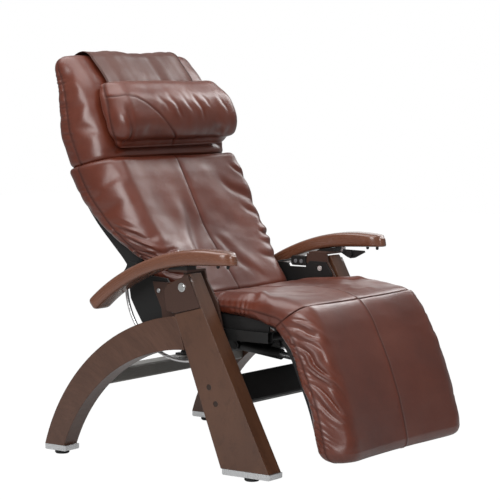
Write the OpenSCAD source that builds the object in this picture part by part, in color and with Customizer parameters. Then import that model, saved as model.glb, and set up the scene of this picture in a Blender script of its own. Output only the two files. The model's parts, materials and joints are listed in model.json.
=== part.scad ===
// Zero-gravity massage recliner: a seat, back and leg rest that tilt in an arched wooden base.
// Millimetres. +Z is up, the sitter faces -Y, and the sitter's left is +X.
// Side outlines are [y, z] pairs measured from the middle of the base, on the floor.

/* [Base] */
// Width over the two wooden sides
base_w = 750; // [744:1:800]
// Thickness of each wooden side
side_t = 57; // [50:1:58]
// Thickness of the front crossbeam
front_beam_t = 34; // [28:1:40]
// Height of the front crossbeam, measured along the leg
front_beam_h = 82; // [78:1:86]
// Height of the rear crossbeam
rear_beam_h = 40; // [32:1:42]
// Depth of the rear crossbeam
rear_beam_d = 58; // [46:1:62]
// Thickness of each metal foot plate
foot_plate_t = 16; // [12:1:20]
// Height of each rubber foot
rubber_foot_h = 12; // [8:1:16]
// Diameter of each rubber foot
rubber_foot_d = 42; // [34:1:48]
// Thickness of the cover let into the top of each side
cover_t = 10; // [8:1:12]

/* [Pivots] */
// Diameter of the main axles
axle_d = 16; // [12:1:18]
// Diameter of the bright cap on each main axle
axle_cap_d = 25; // [20:1:30]
// Diameter of the knee pins
knee_pin_d = 10; // [8:1:12]
// Thickness of the steel side plates
plate_t = 6; // [5:1:7]

/* [Upholstery] */
// Half width of the seat cushion at the hips
hip_half_w = 284; // [270:1:286]
// Half width of the seat cushion at the knees
knee_half_w = 304; // [294:1:306]
// Half width of the back cushion above the arms
back_half_w = 303; // [290:1:306]
// Half width of the leg cushion
leg_half_w = 307; // [296:1:310]
// Half width of the head cushion
head_half_w = 294; // [280:1:300]
// Half width of the pillow
pillow_half_w = 262; // [230:1:270]
// Half width of the strap that holds the pillow
strap_half_w = 205; // [180:1:220]
// Thickness of the strap
strap_t = 4; // [3:0.5:4.5]
// Thickness of the upholstery boards
board_t = 8; // [6:1:9]
// Rise of the cushions' side rolls over their middle
side_roll = 20; // [8:1:26]

/* [Seat frame] */
// Width of each seat rail
rail_w = 25; // [20:1:30]
// Height of each seat rail
rail_h = 30; // [26:1:32]
// Diameter of the cross tubes
cross_tube_d = 22; // [18:1:24]
// Wall of the steel tubes
tube_wall = 2; // [1.5:0.5:3]
// Diameter of the chromed hoops
hoop_d = 10; // [8:1:12]
// Radius of the chromed hoops round the hips
hoop_r = 204; // [200:1:208]
// Thickness of the hip shell
hip_shell_t = 4; // [3:0.5:5]
// Wall of the moulded back and leg shells
shell_wall = 4; // [3:0.5:5]
// Thickness of the flat bars behind the back
back_bar_t = 6; // [5:1:7]

/* [Arms] */
// Distance between the middles of the armrests
arm_pitch = 740; // [736:1:760]
// Width of each armrest
arm_w = 70; // [60:1:74]
// Thickness of each armrest
arm_t = 38; // [34:1:40]
// Diameter of the buttons under the armrests
arm_button_d = 9; // [7:1:11]
// Distance between the two buttons of a pair
arm_button_pitch = 34; // [28:1:38]
// Diameter of the buttons on the switch box
panel_button_d = 12; // [8:1:13]

/* [Drives] */
// Full tilt of the seat in degrees
recline_angle = 16; // [10:1:16]
// Full swing of the leg rest in degrees
leg_angle = 20; // [12:1:20]
// Diameter of the recline drive's tube
drive_tube_d = 36; // [32:1:38]
// Diameter of the leg drive's tube
leg_tube_d = 30; // [26:1:32]
// Diameter of the drive rods
drive_rod_d = 20; // [16:1:22]
// Diameter of the pins at the ends of the drives
drive_pin_d = 12; // [10:1:12]
// Distance of the recline drive from the middle of the chair
recline_drive_x = 95; // [85:1:105]
// Distance of the leg drive from the middle of the chair
leg_drive_x = 175; // [165:1:185]

/* [Hidden] */
$fn = 48;

// Colours
walnut = [0.26, 0.15, 0.11];
leather = [0.38, 0.20, 0.16];
black = [0.06, 0.06, 0.065];
bronze = [0.22, 0.17, 0.15];
silver = [0.80, 0.80, 0.79];

// Clearances
seat_gap = 0.3;    // a piece that rests on another
run_gap = 0.05;    // radial, a shaft in its bore
bolt_gap = 0.25;   // radial, a bolt in its hole

// Main places in the side view
pivot = [-106, 514];   // main axle: seat, back and arms tilt about it
hip = [-20, 500];      // centre of the curves round the sitter's hips
knee = [-420, 447];    // the leg rest turns about it
front_most = -608.5;   // toe of the leg cushion
rear_most = 439.5;     // rear of the strap on the head cushion
frame_shift = -(front_most + rear_most) / 2;

// Main places across the chair
side_in = base_w / 2 - side_t;
plate_out = side_in - 16;
plate_in = plate_out - plate_t;
bracket_in = plate_in - plate_t;
rail_out = bracket_in;
rail_in = rail_out - rail_w;
pan_w = rail_in + 6;
hip_w = min(hip_half_w, bracket_in - 3);

// Leg outlines: the front leg leans back and widens to its foot, the rear leg is an arch
foot_top = rubber_foot_h + foot_plate_t;
front_toe = [-398, foot_top];
front_heel = [-238, foot_top];
front_crotch = [-119, 337];
front_shoulder = [-80, 437];
front_step = [-171, 461];
front_top = [-127, 552];
// Both arcs of the arch end near the front leg's shoulder and crotch, whatever their radius
arch_out_r = 575;
arch_depth = 84;
arch_in_r = arch_out_r - arch_depth;
arch_out_c = front_shoulder - (arch_out_r + 4.245) * unit([70, 575]);
arch_in_c = front_crotch - (arch_in_r - 4.897) * unit([10, 486]);
arch_out_low = asin((foot_top - arch_out_c[1]) / arch_out_r);
arch_in_low = asin((foot_top - arch_in_c[1]) / arch_in_r);
arch_out_foot = arch_out_c[0] + arch_out_r * cos(arch_out_low);
arch_in_foot = arch_in_c[0] + arch_in_r * cos(arch_in_low);

// The crossbeams
leg_up = unit(front_top - [-398, 28]);
leg_back = [leg_up[1], -leg_up[0]];
front_beam_corner = [-243, 196];
plug_spots = [for (up = [0.2, 0.8]) front_beam_corner + leg_back * front_beam_t / 2 + leg_up * front_beam_h * up];
rear_beam_at = arch_out_c + (arch_out_r - 44.62) * unit([380, 370]);
rear_beam_y = rear_beam_at[0];
rear_beam_z = rear_beam_at[1];
rear_beam_top = rear_beam_z + rear_beam_h / 2;
dowel_spots = [for (s = [-1, 1]) [rear_beam_y + s * rear_beam_d / 4, rear_beam_z]];
plug_d = 16;

// Cushions: pairs of front and rear points at the middle, from one end to the other
seat_front = [[22, 446], [-25, 466], [-83, 482], [-159, 489], [-230, 494], [-300, 496], [-371, 490], [-433, 472]];
seat_rear = [[56, 409], [10, 425], [-70, 434], [-150, 438], [-225, 434], [-290, 427], [-332, 418], [-356, 410]];
back_front = [[-24, 480], [22, 540], [68, 604], [104, 655], [142, 722], [176, 785], [207, 846]];
back_rear = [[66, 462], [108, 551], [154, 591], [208, 632], [270, 686], [318, 742], [362, 808]];
head_front = [[232, 868], [262, 940], [290, 1010], [318, 1072], [368, 1133]];
head_rear = [[367, 831], [400, 914], [408, 978], [416, 1042], [431, 1104]];
leg_front = [[-446, 464], [-474, 428], [-504, 370], [-538, 296], [-568, 215], [-590, 130], [-598, 92]];
leg_rear = [[-371, 401], [-392, 374], [-414, 340], [-441, 280], [-471, 207], [-493, 125], [-502, 90]];
pillow_front = [[210, 916], [180, 942], [181, 990], [200, 1032], [232, 1062]];
pillow_rear = [[238, 904], [251, 932], [267, 972], [288, 1021], [300, 1048.5]];
seat_end = [18, 18];
back_end = [12, 10];
head_end = [8, 30];
leg_end = [24, 24];
pillow_end = [16, 16];
groove = 3;          // depth of a sewn seam
groove_share = 0.02; // half width of a sewn seam, as a share of the cushion's half width

// The crease at the knee opens upwards, so the leg rest can swing
crease_up = unit([-440, 468] - knee);
crease_down = unit([-364, 405] - knee);
crease_half = leg_angle / 2 + 0.7;

// Drives: the foot pivot, the pin that is pushed, and the pivot that this pin turns about
recline_foot = [rear_beam_y - 8, rear_beam_z + 42];
recline_pin = [-110, 310];
leg_foot = [-150, 340];
leg_pin = [-376, 314];

// Armrest arc
arm_top = 616;
arm_r = 590;
arm_c = [-188, arm_top - arm_r];
arm_tip_y = -286;
arm_tail_y = 200;
arm_mount = [-128, -64];
arm_button_spot = -226;

// ---- Functions ----
function unit(v) = v / norm(v);
function crossed(a, b) = a[0] * b[1] - a[1] * b[0];
function turned(p, c, a) =
    let (d = p - c) c + [d[0] * cos(a) + d[1] * sin(a), -d[0] * sin(a) + d[1] * cos(a)];
function cubic(a, b, c, d, t) =
    0.5 * ((2 * b) + (c - a) * t + (2 * a - 5 * b + 4 * c - d) * t * t + (3 * b - a - 3 * c + d) * t * t * t);
function at(p, s) =
    let (last = len(p) - 1, i = min(floor(s), last - 1), t = s - i)
    cubic(i > 0 ? p[i - 1] : 2 * p[0] - p[1], p[i], p[i + 1], i + 2 <= last ? p[i + 2] : 2 * p[last] - p[last - 1], t);
function spline(p, n) = [for (k = [0:n]) at(p, k * (len(p) - 1) / n)];
function arc(c, r, from, to, n) =
    [for (k = [0:n]) let (a = from + (to - from) * k / n) c + r * [cos(a), sin(a)]];
function reversed(p) = [for (k = [len(p) - 1:-1:0]) p[k]];
function part_of(p, a, b) = [for (k = [a:b]) p[k]];
// Each point of a line moved square to it: to the right of the way it runs
function moved(p, d) =
    [for (k = [0:len(p) - 1])
        let (a = p[max(k - 1, 0)], b = p[min(k + 1, len(p) - 1)], t = unit(b - a),
             step = is_list(d) ? at(d, k * (len(d) - 1) / (len(p) - 1)) : d)
        p[k] + step * [t[1], -t[0]]];
function band(p, near, far) = concat(moved(p, near), reversed(moved(p, far)));
function arm_z(y, r) = arm_c[1] + sqrt(r * r - pow(y - arm_c[0], 2));

// Angle that a drive swings through, and where the pushed pin lies in the drive's own rod at share t of its stroke
function swing(foot, pin, centre, full) =
    let (a = pin - foot, b = turned(pin, centre, full) - foot) asin(crossed(b, a) / norm(a) / norm(b));
function slip(foot, pin, centre, full, t) =
    let (there = turned(pin, centre, full * t), end = turned(pin, centre, full),
         reach = norm(pin - foot) + t * (norm(end - foot) - norm(pin - foot)))
    turned(there, foot, -swing(foot, pin, centre, full) * t) - foot - reach * unit(pin - foot);
recline_dir = unit(recline_pin - recline_foot);
leg_dir = unit(leg_pin - leg_foot);
recline_slip = slip(recline_foot, recline_pin, pivot, recline_angle, 0.5);
leg_slip = slip(leg_foot, leg_pin, knee, leg_angle, 0.5);

// ---- Shared shapes ----
// A side outline drawn in [y, z], made solid from x0 to x1
module slab(x0, x1) translate([x0, 0, 0]) rotate([90, 0, 90]) linear_extrude(x1 - x0) children();
module across(p, x0, x1, d) translate([x0, p[0], p[1]]) rotate([0, 90, 0]) cylinder(d = d, h = x1 - x0);
module both() { children(); mirror([1, 0, 0]) children(); }
module on_side(left) { if (left) children(); else mirror([1, 0, 0]) children(); }
// The frame of a drive: z runs from its foot pivot towards its pin
module drive_frame(p, dir, x) translate([x, p[0], p[1]]) rotate([atan2(dir[1], dir[0]) - 90, 0, 0]) children();
module along(p, dir, x, from, to, d) drive_frame(p, dir, x) translate([0, 0, from]) cylinder(d = d, h = to - from);
// A board that follows the rear of a cushion
module board(line, near, far, half_w) slab(-half_w, half_w) polygon(band(line, near, far));

// A cushion is a stack of closed rings. Each ring lies between a front and a rear point:
// crowned in front, drawn in to a seam at its sides, nearly flat behind.
front_shares = [1, 0.99, 0.965, 0.92, 0.84, 0.65, 0.35, groove_share, 0,
                -groove_share, -0.35, -0.65, -0.84, -0.92, -0.965, -0.99, -1];
rear_shares = [-0.985, -0.93, -0.5, 0.5, 0.93, 0.985];
function bulge(u, k) = pow(max(0, 1 - pow(abs(u), k)), 1 / k);
function ring(f, r, w, inset, seam, k, roll, cut) =
    let (n = unit(f - r), front = f - n * inset, rear = r + n * inset, half = w - inset,
         thick = norm(front - rear), s = rear + n * thick * seam, rise = thick * (1 - seam), drop = thick * seam)
    concat(
        [for (u = front_shares)
            let (h = (rise + roll * u * u) * bulge(u, k) - (u == 0 ? cut : 0)) [half * u, s[0] + n[0] * h, s[1] + n[1] * h]],
        [for (u = rear_shares)
            let (h = -drop * bulge(u, 6)) [half * u, s[0] + n[0] * h, s[1] + n[1] * h]]);
function end_ring(f, r, w, way, end, a, seam, k, roll, cut) =
    ring(f + way * end * sin(a), r + way * end * sin(a), w, end * (1 - cos(a)), seam, k, roll * cos(a / 2), cut * cos(a));
module pad(front, rear, width, seam, k, end, n, roll, cut) {
    f = spline(front, n);
    r = spline(rear, n);
    w = spline(width, n);
    m = len(front_shares) + len(rear_shares);
    first = unit((f[0] + r[0]) - (f[1] + r[1]));
    last = unit((f[n] + r[n]) - (f[n - 1] + r[n - 1]));
    rings = concat(
        [for (a = [90, 60, 30]) end_ring(f[0], r[0], w[0], first, end[0], a, seam, k, roll, cut)],
        [for (i = [0:n]) ring(f[i], r[i], w[i], 0, seam, k, roll, cut)],
        [for (a = [30, 60, 90]) end_ring(f[n], r[n], w[n], last, end[1], a, seam, k, roll, cut)]);
    count = len(rings);
    sides = [for (i = [0:count - 2], j = [0:m - 1])
        let (a = i * m + j, b = i * m + (j + 1) % m) each [[a, b, b + m], [a, b + m, a + m]]];
    caps = concat([for (j = [1:m - 2]) [0, j + 1, j]],
                  [for (j = [1:m - 2]) let (z = (count - 1) * m) [z, z + j, z + j + 1]]);
    polyhedron([for (q = rings) each q], concat(sides, caps), convexity = 6);
}

// ---- Wooden base ----
module front_leg(left) color(walnut) on_side(left) difference() {
    slab(side_in, base_w / 2)
        polygon([front_toe, front_heel, front_crotch, front_shoulder, [-47, 444], [-40, 500], [-46, 516],
                 [-78, 532], [-98, 540], [-108, 550], front_top]);
    // seat for the cover, open to the outside
    slab(base_w / 2 - cover_t, base_w / 2 + 1)
        polygon([front_step, front_shoulder, [-47, 430], [-20, 430], [-20, 600], front_top + [-20, 60],
                 front_top - [seat_gap, 0]]);
    across(pivot, side_in - 1, base_w / 2 + 1, axle_d + 2 * bolt_gap);
    for (p = plug_spots) {
        across(p, side_in - 1, base_w / 2 + 1, 8 + 2 * bolt_gap);
        across(p, base_w / 2 - 14, base_w / 2 + 1, plug_d);
    }
}

module pivot_cover(left) color(bronze) on_side(left) difference() {
    slab(base_w / 2 - cover_t + seat_gap, base_w / 2 - 1)
        polygon([front_step + [3, 1.5], front_shoulder + [0, 4], [-50, 447], [-43, 500], [-49, 513],
                 [-80, 529], [-100, 537], [-109, 545], front_top + [3, -4]]);
    across(pivot, side_in, base_w / 2 + 1, axle_d + 2 * bolt_gap);
}

arch_out_high = atan2(front_shoulder[1] - arch_out_c[1], front_shoulder[0] - arch_out_c[0]);
arch_in_high = atan2(front_crotch[1] - arch_in_c[1], front_crotch[0] - arch_in_c[0]);
module rear_leg(left) color(walnut) on_side(left) difference() {
    slab(side_in, base_w / 2) difference() {
        polygon(concat(arc(arch_out_c, arch_out_r, arch_out_low, arch_out_high, 28), [front_shoulder],
                       [front_crotch], reversed(arc(arch_in_c, arch_in_r, arch_in_low, arch_in_high, 28))));
        // the joint face against the front leg
        polygon([front_crotch + [seat_gap / 4, -20], front_shoulder + [seat_gap / 4, 20],
                 front_shoulder + [-80, 20], front_crotch + [-80, -20]]);
    }
    for (p = dowel_spots) across(p, side_in - 1, side_in + 26, 10 + 2 * bolt_gap);
}

function beam_spot(back, up) = front_beam_corner + back * leg_back + up * leg_up;
module front_crossbeam() color(black) difference() {
    edge = 4;
    slab(-side_in + seat_gap / 4, side_in - seat_gap / 4)
        polygon([beam_spot(edge, 0), beam_spot(front_beam_t - edge, 0), beam_spot(front_beam_t, edge),
                 beam_spot(front_beam_t, front_beam_h - edge), beam_spot(front_beam_t - edge, front_beam_h),
                 beam_spot(edge, front_beam_h), beam_spot(0, front_beam_h - edge), beam_spot(0, edge)]);
    both() for (p = plug_spots) across(p, side_in - 45, side_in + 1, 8 + 2 * bolt_gap);
}

module rear_crossbeam() color(walnut) difference() {
    edge = 5;
    a = [rear_beam_y - rear_beam_d / 2, rear_beam_z - rear_beam_h / 2];
    b = [rear_beam_y + rear_beam_d / 2, rear_beam_top];
    slab(-side_in + seat_gap / 4, side_in - seat_gap / 4)
        polygon([[a[0] + edge, a[1]], [b[0] - edge, a[1]], [b[0], a[1] + edge], [b[0], b[1] - edge],
                 [b[0] - edge, b[1]], [a[0] + edge, b[1]], [a[0], b[1] - edge], [a[0], a[1] + edge]]);
    both() for (p = dowel_spots) across(p, side_in - 31, side_in + 1, 10 + 2 * bolt_gap);
}

module beam_bolts() color(silver) both() for (p = plug_spots) {
    across(p, side_in - 40, base_w / 2 - 12, 8);
    across(p, base_w / 2 - 14 + seat_gap, base_w / 2 - 9, plug_d - 2);
}
module bolt_plugs() color(walnut) both() for (p = plug_spots)
    across(p, base_w / 2 - 8.7, base_w / 2 - 0.6, plug_d - 0.2);
module beam_dowels() color(walnut) both() for (p = dowel_spots) across(p, side_in - 30, side_in + 25, 10);

foot_spans = [[front_toe[0] - 4, front_heel[0] - 5], [arch_in_foot - 7.99, arch_out_foot - 1.52]];
module foot_plates() color(silver) both() for (f = foot_spans)
    slab(side_in - 1, base_w / 2 + 1)
        polygon([[f[0] + 3, rubber_foot_h], [f[1] - 3, rubber_foot_h], [f[1], rubber_foot_h + 3],
                 [f[1], foot_top], [f[0], foot_top], [f[0], rubber_foot_h + 3]]);
module rubber_feet() color(black) both() for (f = foot_spans)
    translate([side_in + side_t / 2, (f[0] + f[1]) / 2, 0]) {
        cylinder(d1 = rubber_foot_d - 6, d2 = rubber_foot_d, h = 3);
        translate([0, 0, 3]) cylinder(d = rubber_foot_d, h = rubber_foot_h - 3);
    }

cap_from = base_w / 2 - 1 + seat_gap;
module main_axles() color(silver) both() {
    across(pivot, bracket_in + 0.5, cap_from, axle_d);
    across(pivot, cap_from, cap_from + 3, axle_cap_d);
    across(pivot, cap_from + 3, cap_from + 4.5, axle_cap_d - 6);
}

// ---- Recline drive ----
recline_lug_x = 24;
module recline_drive_foot() color(black) for (s = [-1, 1]) difference() {
    union() {
        slab(recline_drive_x + s * recline_lug_x - 3, recline_drive_x + s * recline_lug_x + 3)
            polygon(concat([[rear_beam_y + 24, rear_beam_top]], [[rear_beam_y - 26, rear_beam_top]],
                           reversed(arc(recline_foot, 12, 20, 190, 10))));
        slab(recline_drive_x + s * (recline_lug_x + 11) - 11, recline_drive_x + s * (recline_lug_x + 11) + 11)
            polygon([[rear_beam_y - 20, rear_beam_top], [rear_beam_y + 24, rear_beam_top],
                     [rear_beam_y + 24, rear_beam_top + 5], [rear_beam_y - 20, rear_beam_top + 5]]);
    }
    across(recline_foot, recline_drive_x - 40, recline_drive_x + 40, drive_pin_d + 2 * run_gap);
}

recline_reach = norm(recline_pin - recline_foot);
recline_tube_end = recline_reach - 97.95;
module recline_drive_housing() color(black) difference() {
    union() {
        along(recline_foot, recline_dir, recline_drive_x, 18, recline_tube_end, drive_tube_d);
        drive_frame(recline_foot, recline_dir, recline_drive_x) {
            translate([-17, -17, -17]) cube([34, 34, 60]);
            translate([10, -16, 26]) cube([40, 32, 14]);
        }
        across(recline_foot, recline_drive_x - recline_lug_x - 4, recline_drive_x + recline_lug_x + 4, drive_pin_d);
        along(recline_foot, recline_dir, recline_drive_x + 44, 24, 130, 44);
    }
    along(recline_foot, recline_dir, recline_drive_x, 60, recline_tube_end + 1, drive_rod_d + 2 * run_gap);
}

// A rod's eye is slotted, so the pin's small rise over the stroke has room
module drive_eye(foot, pin, v, x, half_x, eye_d, rod_d, tail) difference() {
    union() {
        along(pin, unit(pin - foot), x, tail, -8, rod_d);
        across(pin + v / 2, x - half_x, x + half_x, eye_d);
    }
    for (t = [0:0.25:1]) across(pin + v * t, x - 20, x + 20, drive_pin_d + 2 * bolt_gap);
}
module recline_drive_rod() color(silver)
    drive_eye(recline_foot, recline_pin, recline_slip, recline_drive_x, 11, 34, drive_rod_d, 75.95 - recline_reach);

module recline_clevis() color(black) {
    tube = cross_spots[1];
    for (s = [-1, 1]) difference() {
        slab(recline_drive_x + s * 17 - 3, recline_drive_x + s * 17 + 3)
            polygon(concat(arc(recline_pin, 14, -170, -10, 10), [tube + [18, -4], tube + [12, 14], tube + [-12, 14], tube + [-18, -4]]));
        across(recline_pin, recline_drive_x - 40, recline_drive_x + 40, drive_pin_d);
        across(tube, recline_drive_x - 40, recline_drive_x + 40, cross_tube_d);
    }
    across(recline_pin, recline_drive_x - 26, recline_drive_x + 26, drive_pin_d);
    for (s = [-1, 1]) across(recline_pin, recline_drive_x + s * 23 - 2, recline_drive_x + s * 23 + 2, 18);
}

// ---- Seat frame ----
flange_low = pivot[1] + 42;
flange_t = 6;
rail_top = 397;
rail_low = rail_top - rail_h;
rail_ends = [60, -334];
screw_spots = [[34, 490], [-18, 436]];
screw_d = 6;
module pivot_plate(left) color(bronze) on_side(left) difference() {
    slab(plate_in, plate_out)
        polygon([[-128, flange_low], [-56, flange_low], [-54, 530], [-62, 515], [56, 514], [48, 486], [25, 440], [20, rail_top],
                 [20, rail_low + 4], [-190, rail_low + 4], [-190, rail_top], [-172, 470], [-133, 534]]);
    across(pivot, plate_in - 1, plate_out + 1, axle_d + 2 * run_gap);
    for (p = screw_spots) across(p, plate_in - 1, plate_out + 1, screw_d + 2 * bolt_gap);
}

module axle_bushes() color(black) both() difference() {
    across(pivot, plate_out, side_in - seat_gap, axle_d + 14);
    across(pivot, plate_out - 1, side_in + 1, axle_d + 2 * run_gap);
}

module plate_screws() color(silver) both() for (p = screw_spots) {
    across(p, bracket_in - 1, plate_out + 1, screw_d);
    across(p, plate_out + seat_gap, plate_out + 2, screw_d + 6);
    across(p, plate_out + 1.9, plate_out + 3.5, screw_d + 3);
}

back_line = spline(back_rear, 24);
hoop_c = [-38, 500];
hoop_top_a = 5;
module hip_brackets() color(black) both() difference() {
    hoop_end = hoop_c + hoop_r * [cos(hoop_top_a), sin(hoop_top_a)];
    slab(bracket_in, plate_in)
        polygon(concat(
            [[-150, rail_low], [60, rail_low], [101, 396], [123, 430], [141, 461], [146, 492],
             hoop_end + [3, -14], hoop_end + [5, 14], [158, 548], [150, 566]],
            reversed(part_of(moved(back_line, 1.5), 3, 5)),
            [[66, 529], [10, 525], [4, 515], [-56, 515], [-60, 524], [-70, 534], [-128, 534], [-150, 500]]));
    across(pivot, bracket_in - 1, plate_in + 1, axle_d + 4);
    for (p = screw_spots) across(p, bracket_in - 1, plate_in + 1, screw_d + 2 * bolt_gap);
}

module seat_rails() color(black) both() difference() {
    slab(rail_in, rail_out)
        polygon([[rail_ends[0], rail_low], [rail_ends[0], rail_top], [rail_ends[1], rail_top], [rail_ends[1], rail_low]]);
    slab(rail_in + tube_wall, rail_out - tube_wall)
        polygon([[rail_ends[0] + 1, rail_low + tube_wall], [rail_ends[0] + 1, rail_top - tube_wall],
                 [rail_ends[1] - 1, rail_top - tube_wall], [rail_ends[1] - 1, rail_low + tube_wall]]);
}

cross_spots = [[34, rail_top - 11], [-110, rail_top - 15], [-318, rail_top - 15]];
module seat_cross_tubes() color(black) for (p = cross_spots) difference() {
    across(p, -rail_in, rail_in, cross_tube_d);
    across(p, -rail_in - 1, rail_in + 1, cross_tube_d - 2 * tube_wall);
}

seat_line = spline(seat_rear, 24);
seat_slot_x = pan_w - 35;
lug_t = 6;
module seat_pan() color(black) {
    board(seat_line, -seat_gap - board_t, -seat_gap, pan_w);
    // runners that carry the curved pan on the straight rails
    under = [for (p = moved(seat_line, -seat_gap - board_t)) if (p[0] < rail_ends[0] - 14 && p[0] > rail_ends[1] + 4) p];
    both() slab(rail_in, pan_w)
        polygon(concat([[under[0][0], rail_top], [under[len(under) - 1][0], rail_top]], reversed(under)));
    // lugs that reach into the cushion and carry the knee pins
    both() difference() {
        slab(seat_slot_x - lug_t / 2, seat_slot_x + lug_t / 2)
            polygon(concat(arc(knee, 12, 60, 240, 8), [[-350, 388], [-318, 402], [-352, 418]]));
        across(knee, seat_slot_x - 10, seat_slot_x + 10, knee_pin_d + 2 * run_gap);
    }
}

hip_shell_r = 158;
shell_from = -6;
shell_to = -48;
module hip_shell() color(black) difference() {
    slab(-bracket_in + seat_gap, bracket_in - seat_gap)
        polygon(concat(arc(hip, hip_shell_r, shell_from, shell_to, 16),
                       reversed(arc(hip, hip_shell_r - hip_shell_t, shell_from, shell_to, 16))));
    // clear way for the recline drive
    slab(recline_drive_x - 36, recline_drive_x + 84) polygon(concat([hip], arc(hip, hip_shell_r + 10, -24, shell_to - 5, 4)));
}

module chrome_hoops() color(silver) both() {
    end_a = -180 + asin((hoop_c[1] - rail_low + hoop_d * 0.38) / hoop_r);
    translate([bracket_in - hoop_d / 2 - 0.2, hoop_c[0], hoop_c[1]]) rotate([90, 0, 90]) rotate([0, 0, end_a])
        rotate_extrude(angle = hoop_top_a - end_a) translate([hoop_r, 0]) circle(d = hoop_d);
}

module seat_cushion() color(leather) difference() {
    pad(seat_front, seat_rear,
        [hip_w - 2, hip_w - 1, hip_w, hip_w + 1, knee_half_w - 9, knee_half_w - 2, knee_half_w, knee_half_w],
        0.45, 7, seat_end, 24, side_roll / 4, groove);
    // the crease at the knee
    low = knee + 0.5 * [-crease_down[1], crease_down[0]];
    slab(-knee_half_w - 20, knee_half_w + 20)
        polygon([low, low + 110 * turned(crease_up, [0, 0], crease_half), [-620, 560], [-620, 300], [-420, 300], low + 110 * crease_down]);
    // pockets for the knee lugs
    both() slab(seat_slot_x - 13, seat_slot_x + 8)
        polygon(concat(arc(knee, 14, 60, 240, 8), [[-400, 370], [-300, 370], [-300, 412], [-340, 434]]));
}

unit_x = 60 - rail_in;
module control_unit() color(black) {
    slab(unit_x, unit_x + 145) polygon([[-30, 333], [28, 333], [28, 365], [22, 371], [-24, 371], [-30, 365]]);
    for (x = [unit_x + 15, unit_x + 115]) difference() {
        slab(x, x + 14) polygon([[8, 370], [49, 370], [49, rail_top], [19, rail_top]]);
        across(cross_spots[0], x - 1, x + 15, cross_tube_d + 2 * bolt_gap);
    }
}

// ---- Leg drive ----
leg_reach = norm(leg_pin - leg_foot);
leg_tube_end = leg_reach - 77.49;
leg_lug_x = 15;
module leg_drive_housing() color(black) difference() {
    x = -leg_drive_x;
    union() {
        along(leg_foot, leg_dir, x, 17, leg_tube_end, leg_tube_d);
        along(leg_foot, leg_dir, x + 40, 18, 96, 40);
        drive_frame(leg_foot, leg_dir, x) {
            translate([-11, -12, -12]) cube([22, 24, 36]);
            translate([-11, -12, 18]) cube([60, 24, 10]);
        }
        across(leg_foot, x - leg_lug_x - 4, x + leg_lug_x + 4, drive_pin_d);
    }
    along(leg_foot, leg_dir, x, 32, leg_tube_end + 1, drive_rod_d - 2 + 2 * run_gap);
}
module leg_drive_rod() color(silver)
    drive_eye(leg_foot, leg_pin, leg_slip, -leg_drive_x, 9, 29, drive_rod_d - 2, 37.49 - leg_reach);
module leg_drive_hanger() color(black) for (s = [-1, 1]) difference() {
    tube = cross_spots[1];
    slab(-leg_drive_x + s * leg_lug_x - 3, -leg_drive_x + s * leg_lug_x + 3)
        polygon(concat(arc(leg_foot, 13, 165, 330, 10), [tube + [18, -6], tube + [14, 14], tube + [-14, 14], tube + [-18, -6]]));
    across(leg_foot, -leg_drive_x - 30, -leg_drive_x + 30, drive_pin_d + 2 * run_gap);
    across(tube, -leg_drive_x - 30, -leg_drive_x + 30, cross_tube_d);
}

// ---- Arms ----
arm_in = arm_pitch / 2 - arm_w / 2;
arm_out = arm_pitch / 2 + arm_w / 2;
module arm_bracket(left) color(bronze) on_side(left)
    slab(plate_in, arm_pitch / 2 + 12)
        polygon([[arm_mount[0], flange_low], [arm_mount[1], flange_low],
                 [arm_mount[1], flange_low + flange_t], [arm_mount[0], flange_low + flange_t]]);
module arm_spacers() color(black) both() {
    low = flange_low + flange_t;
    under = [for (k = [0:6]) let (y = arm_mount[1] + (arm_mount[0] - arm_mount[1]) * k / 6) [y, arm_z(y, arm_r - arm_t) - 0.25]];
    slab(arm_in + 4, arm_pitch / 2 + 12) polygon(concat([[arm_mount[0], low], [arm_mount[1], low]], under));
}

module armrest(left) color(walnut) on_side(left) difference() {
    tail_a = acos((arm_tail_y - arm_c[0]) / (arm_r - arm_t / 2));
    tip_a = acos((arm_tip_y + 8 - arm_c[0]) / arm_r);
    under_a = acos((-150 - arm_c[0]) / (arm_r - arm_t));
    tip_top = arm_c + arm_r * [cos(tip_a), sin(tip_a)];
    intersection() {
        slab(arm_in, arm_out)
            polygon(concat(arc(arm_c, arm_r, tail_a, tip_a, 26), arc(tip_top - [0, 8], 8, 110, 180, 4),
                           [tip_top + [-8, -20], tip_top + [-3, -27]],
                           reversed(arc(arm_c, arm_r - arm_t, tail_a, under_a, 16)),
                           arc(arm_c + (arm_r - arm_t / 2) * [cos(tail_a), sin(tail_a)], arm_t / 2, tail_a - 165, tail_a - 15, 8)));
        // seen from above the tip and the tail are rounded
        translate([0, 0, 300]) linear_extrude(400) {
            r = 16;
            y0 = arm_tip_y;
            y1 = arm_tail_y + 14;
            polygon(concat(arc([arm_in + r, y0 + r], r, 180, 270, 6), arc([arm_out - r, y0 + r], r, 270, 360, 6),
                           arc([arm_out - r, y1 - r], r, 0, 90, 6), arc([arm_in + r, y1 - r], r, 90, 180, 6)));
        }
    }
    for (k = [0, 1]) translate([arm_pitch / 2, button_y(k), button_low]) cylinder(d = arm_button_d + 2 * bolt_gap, h = 25);
}
function button_y(k) = arm_button_spot - k * arm_button_pitch;
button_low = arm_z(arm_button_spot - arm_button_pitch, arm_r - arm_t) - 1.28;
module arm_button(left, k) color(black) on_side(left) translate([arm_pitch / 2, button_y(k), button_low]) {
    cylinder(d1 = arm_button_d - 3, d2 = arm_button_d, h = 3);
    translate([0, 0, 3]) cylinder(d = arm_button_d, h = 17);
}

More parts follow.
